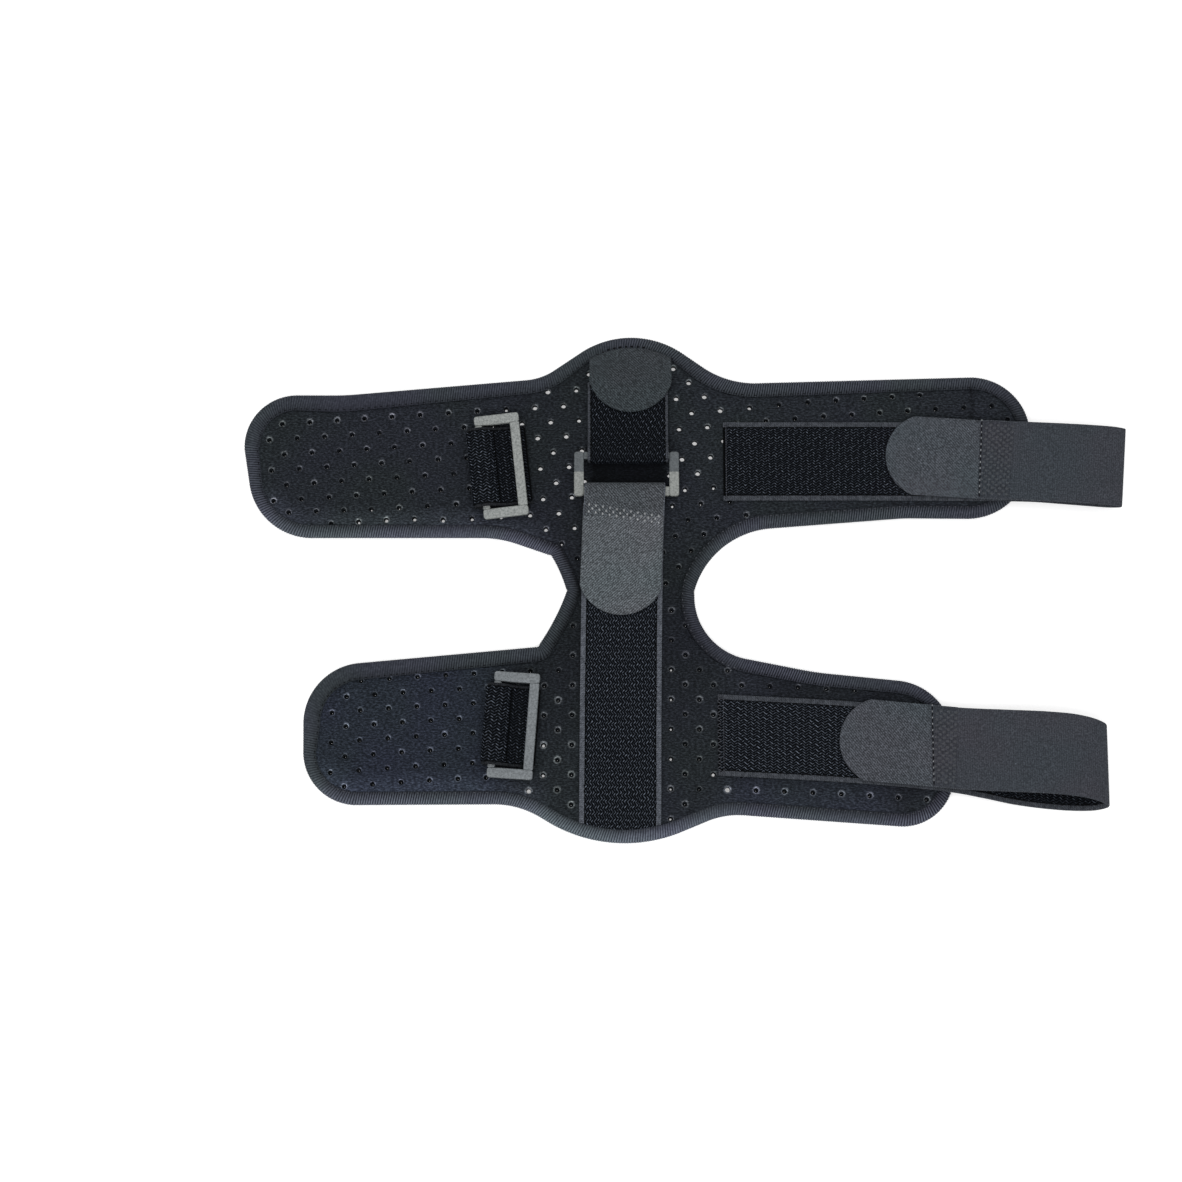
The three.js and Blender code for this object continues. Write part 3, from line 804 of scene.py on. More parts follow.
def band_surface(path, selvedge, seam):
    """The woven base of a band: a flat closed section with rounded edges and a slightly ridged
    selvedge, carried along the path. Its ends thin out over the last millimetres. A seam also
    presses the end down on the tab that it is sewn to, by a smooth step, and marks its last stretch
    of that length."""
    half = STRAP_WIDTH / 2
    low = -STRAP_THICK / 2
    top = low + STRAP_BASE
    ground = top - 0.1
    # crosswise distance, height, finish: 0 backing, 1 selvedge, 2 ground under the pile
    right = [
        (6.3, low, 0),
        (12.6, low, 0),
        (half - 0.5, low, 0),
        (half - 0.1, low + 0.15, 1),
        (half, (low + top) / 2, 1),
        (half - 0.1, ground, 1),
        (half - 0.5, top + 0.04, 1),
        (half - 0.42 * selvedge, top - 0.03, 1),
        (half - 0.65 * selvedge, top + 0.04, 1),
        (half - 0.92 * selvedge, top - 0.04, 2),
        (half - selvedge - 1, ground, 2),
        (6.3, ground, 2),
    ]
    left = [(-t, n, f) for t, n, f in right[::-1]]
    section = np.array([(0, low, 0)] + right + [(0, ground, 2)] + left)
    across, height, kind = section.T
    count = int(path.length / BAND_STEP)
    along = np.linspace(0, path.length, count)
    thin = 0.55 + 0.45 * smooth(0, 4, np.minimum(along, path.length - along))
    press = smooth(path.length - SEAM_PRESS, path.length, along) * (seam is not None)
    t = np.broadcast_to(across, (count, len(section)))
    n = low + (height - low) * (thin * (1 - 0.88 * press))[:, None] + SEAM_DROP * press[:, None]
    points = spread_over(band_frames(path, along), t, n)
    stretch = seam or 0
    marked = smooth(stretch + SEAM_FADE, stretch, path.length - along) * bool(seam)
    marked = np.broadcast_to(marked[:, None], t.shape)
    finish = np.tile(np.where(kind == np.roll(kind, -1), kind, 1), count - 1)
    finish = np.concatenate([finish, [1, 1]]).astype(int)
    uv = np.stack(np.broadcast_arrays(along[:, None], across[None]), -1) * UV_SCALE
    return points, tube_faces(count, len(section)), finish, uv, marked


def strap_back(path, along, t):
    """Points on the back of a strap and their directions ahead, across and up: the middle line plus
    the crosswise distance, less half the thickness, sunk as the pressed seam is, and straight on
    past it."""
    point, across, normal = band_frames(path, np.minimum(along, path.length))
    ahead = np.cross(across, normal)
    sunk = SEAM_DROP * smooth(path.length - SEAM_PRESS, path.length, along) - STRAP_THICK / 2
    past = np.maximum(along - path.length, 0)
    middle = point + t[:, None] * across + sunk[:, None] * normal + past[:, None] * ahead
    return middle, ahead, across, -normal


def pile_height(along, across, seed, pitch):
    """Height of the pile from 0 to 1. Columns of loops lie side by side along the band. In a column
    the loops are slanting ridges, a rectified wave across the band whose phase grows over the
    column, one way and the other way in turn, so that the ridges of all columns join to a zigzag.
    Waves make them uneven."""
    column = along / pitch[0] + 0.1 * ripple(along, across, 9, seed)
    number = np.floor(column)
    place = column - number - 0.5
    lean = 1 - 2 * np.mod(number, 2)
    row = across / pitch[1] + lean * PILE_SLANT * place + 0.2 * ripple(along, across, 9, seed + 1)
    loop = np.abs(np.cos(math.pi * row))
    crown = 0.9 + 0.1 * np.clip(np.cos(math.pi * place), 0, 1)
    uneven = 0.9 + 0.11 * ripple(along, across, 1.9, seed + 2)
    return np.clip(loop * crown * uneven, 0, 1.15)


def pile_surface(path, selvedge, start, end, seed, pitch=PILE_PITCH, grid=PILE_GRID, light=1.0):
    """The pile of a band from one distance along it to another: a closed slab whose upper side is
    the ground plus the height of the loops. Beside the selvedges it sinks under them along a ragged
    line, the border moved by short waves. light scales the painted highlight that the height of the
    loops gives their crowns."""
    inner = STRAP_WIDTH / 2 - selvedge + 0.7
    ground = STRAP_BASE - STRAP_THICK / 2 - 0.12
    rows = int((end - start) / grid)
    columns = int(2 * inner / (0.88 * grid))
    along = np.linspace(start, end, rows)
    t = np.linspace(-inner, inner, columns)
    everywhere, over = np.broadcast_arrays(along[:, None], t)
    waver = ripple(everywhere, np.sign(over) * 9, 2.4, seed + 3)
    ragged = inner - 0.6 - np.abs(t) + 0.4 * waver
    to_end = np.minimum(along - start, end - along)[:, None]
    height = pile_height(everywhere, over, seed, pitch)
    height = height * smooth(-0.25, 0.5, np.minimum(ragged, to_end))
    rise = ground + 0.1 + PILE_HEIGHT * height - 0.4 * smooth(0.1, -0.35, ragged)
    below = np.full((rows, 2), ground - 0.5)
    n = np.concatenate([rise, below], 1)
    across = np.broadcast_to(np.concatenate([t, [inner, -inner]]), n.shape)
    points = spread_over(band_frames(path, along), across, n)
    # the loop heights carry the painted highlight of the crowns
    shade = np.concatenate([light * height, np.zeros_like(below)], 1)
    return points, tube_faces(rows, columns + 2), shade


def keeper_rows(reach, slack):
    """Middle line of a keeper in its ring's frame: flat on the body, half round the bar, then down
    and back over itself."""
    radius = LOOP_RADIUS + STRAP_THICK / 2
    angle = np.radians([-90, -45, 0, 45, 90])
    bend = np.stack([-slack - radius * np.cos(angle), AXIS_LEVEL + radius * np.sin(angle)], 1)
    flat = [(reach, STRAP_LEVEL), (6, STRAP_LEVEL), (2 - slack, STRAP_LEVEL)]
    over = [
        (2.6, AXIS_LEVEL + radius - 0.3),
        (5.6, UPPER_LEVEL + 2.2),
        (8.6, UPPER_LEVEL + 0.3),
        (11.5, UPPER_LEVEL),
        (reach, UPPER_LEVEL),
    ]
    along, up = np.concatenate([flat, bend, over]).T
    rows = np.zeros(len(along), dtype=ROW)
    rows["along"], rows["up"] = along, up
    return rows


# Tabs and pad


def rounded_slab(x, y, level, inside):
    """A thin closed slab over a grid of plan points, with its back at a level: near the outline
    both faces draw in by a quarter round of the distance inside it."""
    short = np.clip(SLAB_FILLET - inside, 0, SLAB_FILLET)
    drop = SLAB_FILLET - np.sqrt(SLAB_FILLET**2 - short**2)
    upper = np.stack([x, y, level + TAB_THICK - drop], -1)
    lower = np.stack([x, y, level + drop], -1)[:, ::-1]
    points = np.concatenate([upper, lower], 1)
    return points, tube_faces(*points.shape[:2]), points[..., :2] * UV_SCALE


def tab_surface(length, tail):
    """A flat tab that points along X: its half width is the strap's up to the round end and then
    that of a circle. The distance inside it is the smallest of those to its sides, tail and round
    end."""
    half = STRAP_WIDTH / 2
    centre = length - TAB_NOSE_RADIUS
    swing = math.asin(half / TAB_NOSE_RADIUS)
    nose_start = centre + TAB_NOSE_RADIUS * math.cos(swing)
    straight = np.linspace(-tail, nose_start, 40, endpoint=False)
    nose = centre + TAB_NOSE_RADIUS * np.cos(np.linspace(swing, 0.004, 40))
    along = np.concatenate([straight, nose])
    circle = np.sqrt(np.maximum(TAB_NOSE_RADIUS**2 - (along - centre) ** 2, 0))
    width = np.where(along < nose[0], half, circle)
    y = width[:, None] * np.sin(np.linspace(-1, 1, 41) * math.pi / 2)
    x = np.broadcast_to(along[:, None], y.shape)
    beside = np.minimum(half - np.abs(y), x + tail)
    round_end = TAB_NOSE_RADIUS - np.hypot(x - centre, y)
    inside = np.where(x > centre, np.minimum(beside, round_end), beside)
    return rounded_slab(x, y, 0, inside)


def pad_surface():
    """The top pad: across runs over its width, and the other way from the round lower end to the
    edge of the body under the tape. It rests on the keeper, then its height falls smoothly to the
    body."""
    half = PAD_WIDTH / 2
    rest = UPPER_LEVEL + STRAP_THICK / 2 + GAP
    across = half * np.sin(np.linspace(-1, 1, 45) * math.pi / 2)
    low = PAD_TIP + TAB_NOSE_RADIUS - np.sqrt(TAB_NOSE_RADIUS**2 - across**2)
    edge = from_edge(FINE_EDGE, FINE_EDGE.tape - 1.6)
    edge = edge[(edge[:, 1] > 95) & (np.abs(edge[:, 0] - PAD_MIDDLE) < 30)]
    edge = edge[np.argsort(edge[:, 0])]
    high = np.interp(across + PAD_MIDDLE, edge[:, 0], edge[:, 1])
    share = np.concatenate([np.linspace(0, 0.12, 9), np.linspace(0.12, 1, 40)[1:]])[:, None]
    y = low + share * (high - low)
    x = np.broadcast_to(across, y.shape)
    fall = (rest - BODY_THICK - 0.15) * smooth(97.5, 114, y)
    level = rest - fall - 0.95 * smooth(2.6, 0.4, high - y)
    inside = np.minimum(half - np.abs(x), y - low)
    return rounded_slab(x + PAD_MIDDLE, y, level, inside)


# Rings


def moulded_bar(x0, x1, y0, y1, corner, thick):
    """A flat bar with a round-cornered plan and filleted rims: its plan outline is repeated at the
    heights of the fillets, drawn in by one less the sine of the fillet's angle."""
    angle = np.linspace(0, math.pi / 2, 6)
    quarter = np.stack([np.cos(angle), np.sin(angle)], 1)
    spin = np.array([[0, 1], [-1, 0]])
    arcs = [quarter @ np.linalg.matrix_power(spin, k) for k in range(4)]
    corners = np.array([(x1, y1), (x0, y1), (x0, y0), (x1, y0)], float)
    signs = np.array([(1, 1), (-1, 1), (-1, -1), (1, -1)])
    plan = np.concatenate([c - s * corner + corner * a for c, s, a in zip(corners, signs, arcs)])
    outward = np.concatenate(arcs)
    outward = np.where(np.abs(outward) < 1e-9, 0, outward)
    tip = np.linspace(0, math.pi / 2, 5)
    draw = np.concatenate([RING_FILLET * (1 - np.sin(tip)), RING_FILLET * (1 - np.cos(tip))])
    low = -RING_FILLET * np.cos(tip) - thick / 2 + RING_FILLET
    high = RING_FILLET * np.sin(tip) + thick / 2 - RING_FILLET
    height = np.concatenate([low, high])
    rows = plan[None] - draw[:, None, None] * outward[None]
    level = np.broadcast_to(height[:, None, None], rows.shape[:2] + (1,))
    points = np.concatenate([rows, level], -1)
    return points, tube_faces(*points.shape[:2])


def ring_surface(ring):
    """A rectangular ring: two arms right across its width, a pull bar and a thinner hinge bar
    between them, turned about the hinge bar by the ring's tilt and set in place."""
    left = -HINGE_BAR / 2
    right = HINGE_BAR / 2 + RING_SLOT + PULL_BAR
    arm = RING_WINDOW / 2
    end = RING_LENGTH / 2
    lap, inset = 0.12, 0.1
    arm_corner, bar_corner = 1.3, 0.6
    low, high = -arm - lap, arm + lap
    bars = [
        moulded_bar(left, right, arm, end, arm_corner, RING_THICK),
        moulded_bar(left, right, -end, -arm, arm_corner, RING_THICK),
        moulded_bar(right - PULL_BAR, right - inset, low, high, bar_corner, RING_THICK - 0.15),
        moulded_bar(left + inset, -left - inset, low, high, bar_corner, RING_THICK - 0.2),
    ]
    points, faces = joined(bars)
    c, s = math.cos(math.radians(ring.tilt)), math.sin(math.radians(ring.tilt))
    lifted = np.array([[c, 0, s], [0, 1, 0], [-s, 0, c]])
    return placed(points @ lifted, ring.at, AXIS_LEVEL), faces


# Stitches and raised dots


def stitch_row(middle, ahead, up, length, radius=STITCH_RADIUS, sag=0.55):
    """Many stitches at once: a six-sided thread along an arc that dips into the cloth at both ends.
    The thread's radius shrinks to the ends, and the arc falls by the square of the distance from
    its middle."""
    share = np.array([-1, -0.8, -0.3, 0.3, 0.8, 1])
    girth = np.array([0.25, 0.8, 1, 1, 0.8, 0.25])
    angle = np.arange(6) * math.pi / 3
    side = np.cross(up, ahead)
    line = middle[:, None] + share[:, None] * (length / 2) * ahead[:, None]
    line = line - (sag * share**2)[:, None] * up[:, None]
    ring = np.cos(angle)[:, None] * side[:, None] + np.sin(angle)[:, None] * up[:, None]
    points = line[:, :, None] + radius * girth[:, None, None] * ring[:, None]
    return points, tube_faces(len(share), len(angle), len(middle))


def raised_dots(middle, ahead, across, up, size, height):
    """Low domes at many places at once: two eight-sided rings and a crown, on an oval base."""
    angle = np.arange(8) * math.pi / 4
    spread = np.array([1.0, 0.75, 0.3])[:, None, None]
    rise = np.array([-0.12, 0.6 * height, height])[:, None, None]
    long = np.cos(angle)[:, None] * ahead[:, None] * size
    plan = long + np.sin(angle)[:, None] * across[:, None] * size * 0.8
    points = middle[:, None, None] + spread * plan[:, None] + rise * up[:, None, None]
    return points, tube_faces(len(rise), len(angle), len(middle))


# Finishes


def add_node(tree, kind, **settings):
    """New shader node with its settings; names with a capital are input sockets."""
    node = tree.nodes.new(kind)
    for label, value in settings.items():
        if label[0].isupper():
            node.inputs[label.replace("_", " ")].default_value = value
        else:
            setattr(node, label, value)
    return node


def new_finish(name, roughness, specular=0.08):
    """Material with its principled shader; what is the same all over sits on the shader's own
    sockets."""
    material = bpy.data.materials.new(name)
    material.use_nodes = True
    shader = material.node_tree.nodes["Principled BSDF"]
    shader.inputs["Roughness"].default_value = roughness
    shader.inputs["Specular IOR Level"].default_value = specular
    return material, material.node_tree, shader


def colour_ramp(tree, source, stops):
    """Colour ramp over a number, with stops of (place, colour)."""
    ramp = tree.nodes.new("ShaderNodeValToRGB")
    elements = ramp.color_ramp.elements
    elements[0].position, elements[1].position = stops[0][0], stops[-1][0]
    elements[0].color, elements[1].color = (*stops[0][1], 1), (*stops[-1][1], 1)
    for place, colour in stops[1:-1]:
        elements.new(place).color = (*colour, 1)
    tree.links.new(source, ramp.inputs["Fac"])
    return ramp.outputs["Color"]


def blotches(tree, coordinates, scale, detail=2.0, roughness=0.5):
    """Noise over given coordinates."""
    noise = add_node(tree, "ShaderNodeTexNoise", Scale=scale, Detail=detail, Roughness=roughness)
    tree.links.new(coordinates, noise.inputs["Vector"])
    return noise.outputs["Fac"]


def stripes(tree, coordinates, scale, direction="X", distortion=0.0):
    """Even bands over given coordinates."""
    settings = {"Scale": scale, "Distortion": distortion, "Detail_Scale": 2.0}
    wave = add_node(tree, "ShaderNodeTexWave", bands_direction=direction, **settings)
    tree.links.new(coordinates, wave.inputs["Vector"])
    return wave.outputs["Fac"]


def combine(tree, kind, first, second):
    """Two numbers added, multiplied and so on."""
    node = add_node(tree, "ShaderNodeMath", operation=kind)
    for socket, source in zip(node.inputs, (first, second)):
        if isinstance(source, (int, float)):
            socket.default_value = source
        else:
            tree.links.new(source, socket)
    return node.outputs["Value"]


def weighed(tree, first, first_share, second, second_share):
    """Sum of two numbers, each times its share."""
    first = combine(tree, "MULTIPLY", first, first_share)
    return combine(tree, "ADD", first, combine(tree, "MULTIPLY", second, second_share))


def tinted(tree, colour, tint):
    """One colour multiplied by another."""
    mix = add_node(tree, "ShaderNodeMix", data_type="RGBA", blend_type="MULTIPLY")
    mix.inputs["Factor"].default_value = 1.0
    tree.links.new(colour, mix.inputs[6])
    tree.links.new(tint, mix.inputs[7])
    return mix.outputs[2]


def tinted_where(tree, colour, number, tint, start=0.0):
    """A colour multiplied by a tint that comes in over a number, from none at start to all at 1."""
    return tinted(tree, colour, colour_ramp(tree, number, [(start, (1, 1, 1)), (1.0, tint)]))


def drifting(tree, colour, place, scale, stops):
    """A colour multiplied by a tint that drifts slowly over the piece."""
    return tinted(tree, colour, colour_ramp(tree, blotches(tree, place, scale), stops))


def coat(tree, shader, colour, height, distance, strength):
    """Colour of a shader, and its bump from a height of 0 to 1 over a distance in metres."""
    tree.links.new(colour, shader.inputs["Base Color"])
    bump = add_node(tree, "ShaderNodeBump", Strength=strength, Distance=distance)
    tree.links.new(height, bump.inputs["Height"])
    tree.links.new(bump.outputs["Normal"], shader.inputs["Normal"])


def coordinates_of(tree, kind):
    """Object or UV coordinates."""
    return add_node(tree, "ShaderNodeTexCoord").outputs[kind]


def value_of(tree, label):
    """A number that the piece's own points carry."""
    return add_node(tree, "ShaderNodeAttribute", attribute_name=label).outputs["Fac"]


def body_knit():
    """Blue-black knit over foam: fine speckle drawn out along the rows of knit, a slow drift
    between blue and green, the painted light and shade and the blue of the place, a painted
    highlight on the rims of the holes, and a painted shade in the window of the middle ring."""
    material, tree, shader = new_finish("body_knit", 0.85)
    place = coordinates_of(tree, "Object")
    rows_way = add_node(tree, "ShaderNodeMapping", Scale=(0.5, 1.0, 1.0))
    tree.links.new(place, rows_way.inputs["Vector"])
    grain = blotches(tree, rows_way.outputs["Vector"], 1500, 2.5, 0.65)
    tones = [
        (0.34, (0.0055, 0.0064, 0.0078)),
        (0.5, (0.0135, 0.0156, 0.0192)),
        (0.68, (0.034, 0.039, 0.047)),
    ]
    colour = colour_ramp(tree, grain, tones)
    drift = [(0.38, (0.95, 1.02, 0.97)), (0.62, (1.0, 0.99, 1.1))]
    colour = drifting(tree, colour, place, 22, drift)
    # painted light and shade of the place, carried by the tone values
    colour = tinted(tree, colour, value_of(tree, "tone"))
    colour = tinted_where(tree, colour, value_of(tree, "blue"), (1.16, 1.2, 1.42))
    # painted highlight on the rims of the holes
    colour = tinted_where(tree, colour, value_of(tree, "rim"), (14.5, 13.2, 11.6), 0.08)
    # painted shade in the middle ring's window
    colour = tinted_where(tree, colour, value_of(tree, "window"), (0.22, 0.23, 0.25))
    rows = combine(tree, "MULTIPLY", stripes(tree, place, 340, "Y", 1.5), 0.5)
    coat(tree, shader, colour, combine(tree, "ADD", rows, grain), 0.00025, 0.9)
    return material


def tape_rib():
    """Slate edge tape, lighter on the rib crowns as a painted highlight, with a fine grain, a slow
    drift and the painted light and shade of the place."""
    material, tree, shader = new_finish("tape_rib", 0.8)
    place = coordinates_of(tree, "Object")
    grain = blotches(tree, place, 900, 2.0, 0.6)
    # the rib value lightens the crowns, a painted highlight
    mixed = weighed(tree, value_of(tree, "rib"), 0.74, grain, 0.38)
    tones = [
        (0.24, (0.007, 0.008, 0.0105)),
        (0.54, (0.03, 0.033, 0.041)),
        (0.82, (0.085, 0.092, 0.11)),
    ]
    drift = [(0.38, (0.93, 1.03, 0.97)), (0.62, (1.0, 0.98, 1.1))]
    colour = drifting(tree, colour_ramp(tree, mixed, tones), place, 20, drift)
    # painted light and shade of the place along the tape
    colour = tinted(tree, colour, value_of(tree, "tone"))
    coat(tree, shader, colour, grain, 0.00015, 0.6)
    return material


def pile_loops(name, share, crowns):
    """Black loop pile with painted light: a painted shade of deep black between the loops and a
    painted highlight, a dull shine, on their crowns. share sets how much of the loops shines,
    crowns how strongly."""
    material, tree, shader = new_finish(name, 0.7, 0.05)
    grain = blotches(tree, coordinates_of(tree, "Object"), 1100, 2.0, 0.6)
    shining = combine(tree, "ADD", combine(tree, "MULTIPLY", grain, 0.22), share)
    mixed = combine(tree, "MULTIPLY", value_of(tree, "pile"), shining)
    # painted shade between the loops, painted highlight on the crowns
    tones = [(0.42, (0.0006, 0.0008, 0.0012)), (0.68, (0.0092, 0.0115, 0.0165)), (0.92, crowns)]
    coat(tree, shader, colour_ramp(tree, mixed, tones), grain, 0.00012, 0.5)
    return material


def selvedge_weave(name, share):
    """Slate woven border of the pile tape: a fine slanting weave. share scales its tone."""
    material, tree, shader = new_finish(name, 0.75)
    place = coordinates_of(tree, "UV")
    straight = stripes(tree, place, 3.6, "X", 2.0)
    weave = combine(tree, "ADD", straight, stripes(tree, place, 5.2, "DIAGONAL", 3.0))
    grain = blotches(tree, coordinates_of(tree, "Object"), 900)
    mixed = weighed(tree, weave, 0.15, grain, 0.7)
    tones = [
        (0.25, (0.013, 0.0145, 0.0175)),
        (0.5, (0.036, 0.04, 0.048)),
        (0.8, (0.082, 0.089, 0.104)),
    ]
    colour = colour_ramp(tree, mixed, [(at, tuple(share * c for c in tone)) for at, tone in tones])
    coat(tree, shader, colour, mixed, 0.0002, 0.7)
    return material


def grey_cloth(name, light, spread, warm=1.0, lint=False, weave="DIAGONAL"):
    """Grey felted backing: fine weave and grain, a slow drift of tone, darker where it is pressed,
    and a few specks of lint. light is the colour in the middle of the range, spread its
    contrast."""
    material, tree, shader = new_finish(name, 0.8)
    place = coordinates_of(tree, "Object")
    weave_scale, weave_share = (4.6, 0.2) if weave == "DIAGONAL" else (3.0, 0.09)
    twill = stripes(tree, coordinates_of(tree, "UV"), weave_scale, weave, 1.6)
    grain = blotches(tree, place, 1450, 2.0, 0.6)
    mixed = weighed(tree, grain, 0.96, combine(tree, "SUBTRACT", twill, 0.5), weave_share)
    dark = tuple(c / spread for c in light)
    bright = tuple(spread * c for c in light)
    colour = colour_ramp(tree, mixed, [(0.36, dark), (0.5, light), (0.66, bright)])
    drift = [(0.36, (0.96, 1.02, 1.02)), (0.64, (1.04 * warm, 0.99, 1.01))]
    colour = drifting(tree, colour, place, 24, drift)
    colour = tinted_where(tree, colour, value_of(tree, "pressed"), (0.86, 0.86, 0.87))
    if lint:
        cell = add_node(tree, "ShaderNodeTexVoronoi", Scale=85.0)
        tree.links.new(place, cell.inputs["Vector"])
        speck = combine(tree, "LESS_THAN", cell.outputs["Distance"], 0.035)
        colour = tinted_where(tree, colour, speck, (2.4, 2.4, 2.4))
    coat(tree, shader, colour, mixed, 0.00016, 0.7)
    return material


def ring_plastic(name, tones, painted_shade_above=None):
    """Grey moulded plastic with a faint mottle and a satin surface, from one tone to the other.
    Beyond a line across the part it may carry a painted shade."""
    material, tree, shader = new_finish(name, 0.45, 0.3)
    place = coordinates_of(tree, "Object")
    mottle = blotches(tree, place, 1250, 3.0, 0.65)
    colour = colour_ramp(tree, mottle, [(0.33, tones[0]), (0.67, tones[1])])
    if painted_shade_above is not None:
        split = add_node(tree, "ShaderNodeSeparateXYZ")
        tree.links.new(place, split.inputs["Vector"])
        # painted shade past the line across the ring
        shade = combine(tree, "GREATER_THAN", split.outputs["Y"], painted_shade_above * MM)
        colour = tinted_where(tree, colour, shade, (0.38, 0.41, 0.46))
    coat(tree, shader, colour, mottle, 0.00006, 0.5)
    return material


def thread(name, colour):
    """Sewing thread with a fine twist."""
    material, tree, shader = new_finish(name, 0.6)
    twist = blotches(tree, coordinates_of(tree, "Object"), 1800, 1.0)
    dark = tuple(0.6 * c for c in colour)
    bright = tuple(1.5 * c for c in colour)
    twisted = colour_ramp(tree, twist, [(0.3, dark), (0.7, bright)])
    tree.links.new(twisted, shader.inputs["Base Color"])
    return material


KNIT = body_knit()
TAPE = tape_rib()
PILE = pile_loops("pile_loops", 0.775, (0.205, 0.238, 0.295))
KEEPER_PILE = pile_loops("keeper_pile", 0.74, (0.235, 0.272, 0.335))
CENTRE_KEEPER_PILE = pile_loops("centre_keeper_pile", 0.72, (0.205, 0.238, 0.295))
WEAVE = selvedge_weave("selvedge_weave", 1.1)
CENTRE_WEAVE = selvedge_weave("centre_selvedge_weave", 1.9)
KEEPER_WEAVE = selvedge_weave("keeper_weave", 0.36)
STRAP_GREY = grey_cloth(
    "strap_backing", (0.0395, 0.0437, 0.0522), 1.5, warm=1.03, lint=True, weave="X"
)
DOT_GREY = grey_cloth("seam_dot_grey", (0.07, 0.074, 0.084), 1.4)
TAB_GREY = grey_cloth("tab_felt", (0.0515, 0.0578, 0.0668), 1.95, lint=True)
CENTRE_GREY = grey_cloth("centre_tab_felt", (0.078, 0.0865, 0.0945), 2.05)
CENTRE_BACK = grey_cloth("centre_strap_backing", (0.051, 0.058, 0.064), 2.2)
PAD_GREY = grey_cloth("pad_felt", (0.033, 0.0385, 0.043), 2.0)
RING_FINISH = {
    # painted reflection: the upper left ring has lighter plastic than the lower left, a lit copy of
    # the same plastic
    "upper_left": ring_plastic("ring_plastic", ((0.14, 0.151, 0.148), (0.33, 0.348, 0.338))),
    "lower_left": ring_plastic("cool_ring_plastic", ((0.09, 0.1, 0.107), (0.21, 0.229, 0.243))),
    # the centre ring's upper half carries a painted shade
    "centre": ring_plastic(
        "painted_shade_ring_plastic", ((0.14, 0.149, 0.143), (0.295, 0.308, 0.295)), painted_shade_above=55.85
    ),
}
DARK_THREAD = thread("dark_thread", (0.003, 0.0032, 0.0045))
SLATE_THREAD = thread("slate_thread", (0.05, 0.053, 0.063))
LIGHT_THREAD = thread("light_thread", (0.23, 0.24, 0.25))


# Pieces


def settle(piece, body, slot, *nodes):
    """The piece rides on a body and stands for its solids; its slot is not used."""
    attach(piece, body)
    if nodes:
        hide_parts(*nodes)
    return piece


def sew(name, parts, finish, slot):
    """Rows of stitches or dots as one piece on the brace."""
    return settle(make_piece(name, *joined(parts), [finish]), "brace", slot)


def dress_body():
    """The perforated body, its edge tape, and the stitches along the tape's inner border: fine
    slate ones on the lower edges and in the right bay, dark ones elsewhere, and bold ones over the
    pad."""
    points, faces, values, area = body_surface()
    body = make_piece("perforated_body", points, faces, [KNIT], values=values, crease=70)
    settle(body, "brace", "body_cloth", "body_panel")
    points, faces, uv, values = tape_surface()
    tape = make_piece("ribbed_edge_tape", points, faces, [TAPE], uv=uv, values=values, crease=80)
    settle(tape, "brace", "edge_tape", "edge_binding")
    edge = edge_stops(EDGE_STITCH_STEP)
    x, y = edge.at.T
    level = EDGE_STITCH_LEVEL + SEWN_LIFT * near_sewn_ends(edge.at)
    middle = np.column_stack([from_edge(edge, edge.tape - EDGE_STITCH_INSET), level])
    ahead, inward = (np.column_stack([v, 0 * x]) for v in (edge.ahead, edge.inward))
    up = np.broadcast_to([0.0, 0.0, 1.0], ahead.shape)
    right_bay = (inward[:, 0] < -0.3) & (np.abs(y) < 38) & (np.abs(x) < 70)
    low = (inward[:, 1] > 0.6) | right_bay
    dark = stitch_row(middle[~low], ahead[~low], up[~low], 2.1)
    sewing = sew("edge_stitches", [dark], DARK_THREAD, "edge_tape")
    slate = stitch_row(middle[low], ahead[low], up[low], 1.5, 0.3)
    lower_sewing = sew("lower_edge_stitches", [slate], SLATE_THREAD, "edge_tape")
    at_pad = (np.abs(x - PAD_MIDDLE + 2) < 11) & (y > 100)
    raised = middle[at_pad] - 0.4 * inward[at_pad] + np.array([0, 0, 0.12])
    uneven = np.random.default_rng(6).uniform(1.3, 2.4, (len(raised), 1, 1))
    bold = stitch_row(raised, ahead[at_pad], up[at_pad], uneven, 0.36)
    pad_sewing = sew("pad_stitches", [bold], DARK_THREAD, "edge_tape")


def dress_band(name, path, patches, weaves, selvedge=SELVEDGE, seam=None, loops=PILE):
    """A strap or keeper: woven base and its pile in one or more stretches of finer or coarser
    grid."""
    points, faces, finish, uv, marked = band_surface(path, selvedge, seam)
    finishes, values = [*weaves, PILE], {"pressed": marked}
    band = make_piece(f"{name}_tape", points, faces, finishes, finish=finish, uv=uv, values=values)
    parts = [pile_surface(path, selvedge, *patch) for patch in patches]
    points, faces = joined([(p, f) for p, f, _ in parts])
    shade = np.concatenate([s.ravel() for _, _, s in parts])
    pile = make_piece(f"{name}_pile", points, faces, [loops], values={"pile": shade}, crease=180)
    settle(band, "brace", "pile_tape", name)
    settle(pile, "brace", "pile_tape")


def end_stitches(path, along, zigzag, count, length):
    """A row of stitches across a band near a sewn end: they lie crosswise, turned by zigzag one way
    and the other in turn."""
    point, across, normal = (v[0] for v in band_frames(path, np.array([along])))
    t = np.linspace(-STRAP_WIDTH / 2 + 1.2, STRAP_WIDTH / 2 - 1.2, count)
    swing = np.radians(zigzag) * (1 - 2 * (np.arange(count) % 2))
    ahead = np.cross(across, normal)
    way = np.cos(swing)[:, None] * across + np.sin(swing)[:, None] * ahead
    level = STRAP_THICK / 2 + 0.05
    middle = point + t[:, None] * across + level * normal
    return stitch_row(middle, way, np.broadcast_to(normal, way.shape), length)


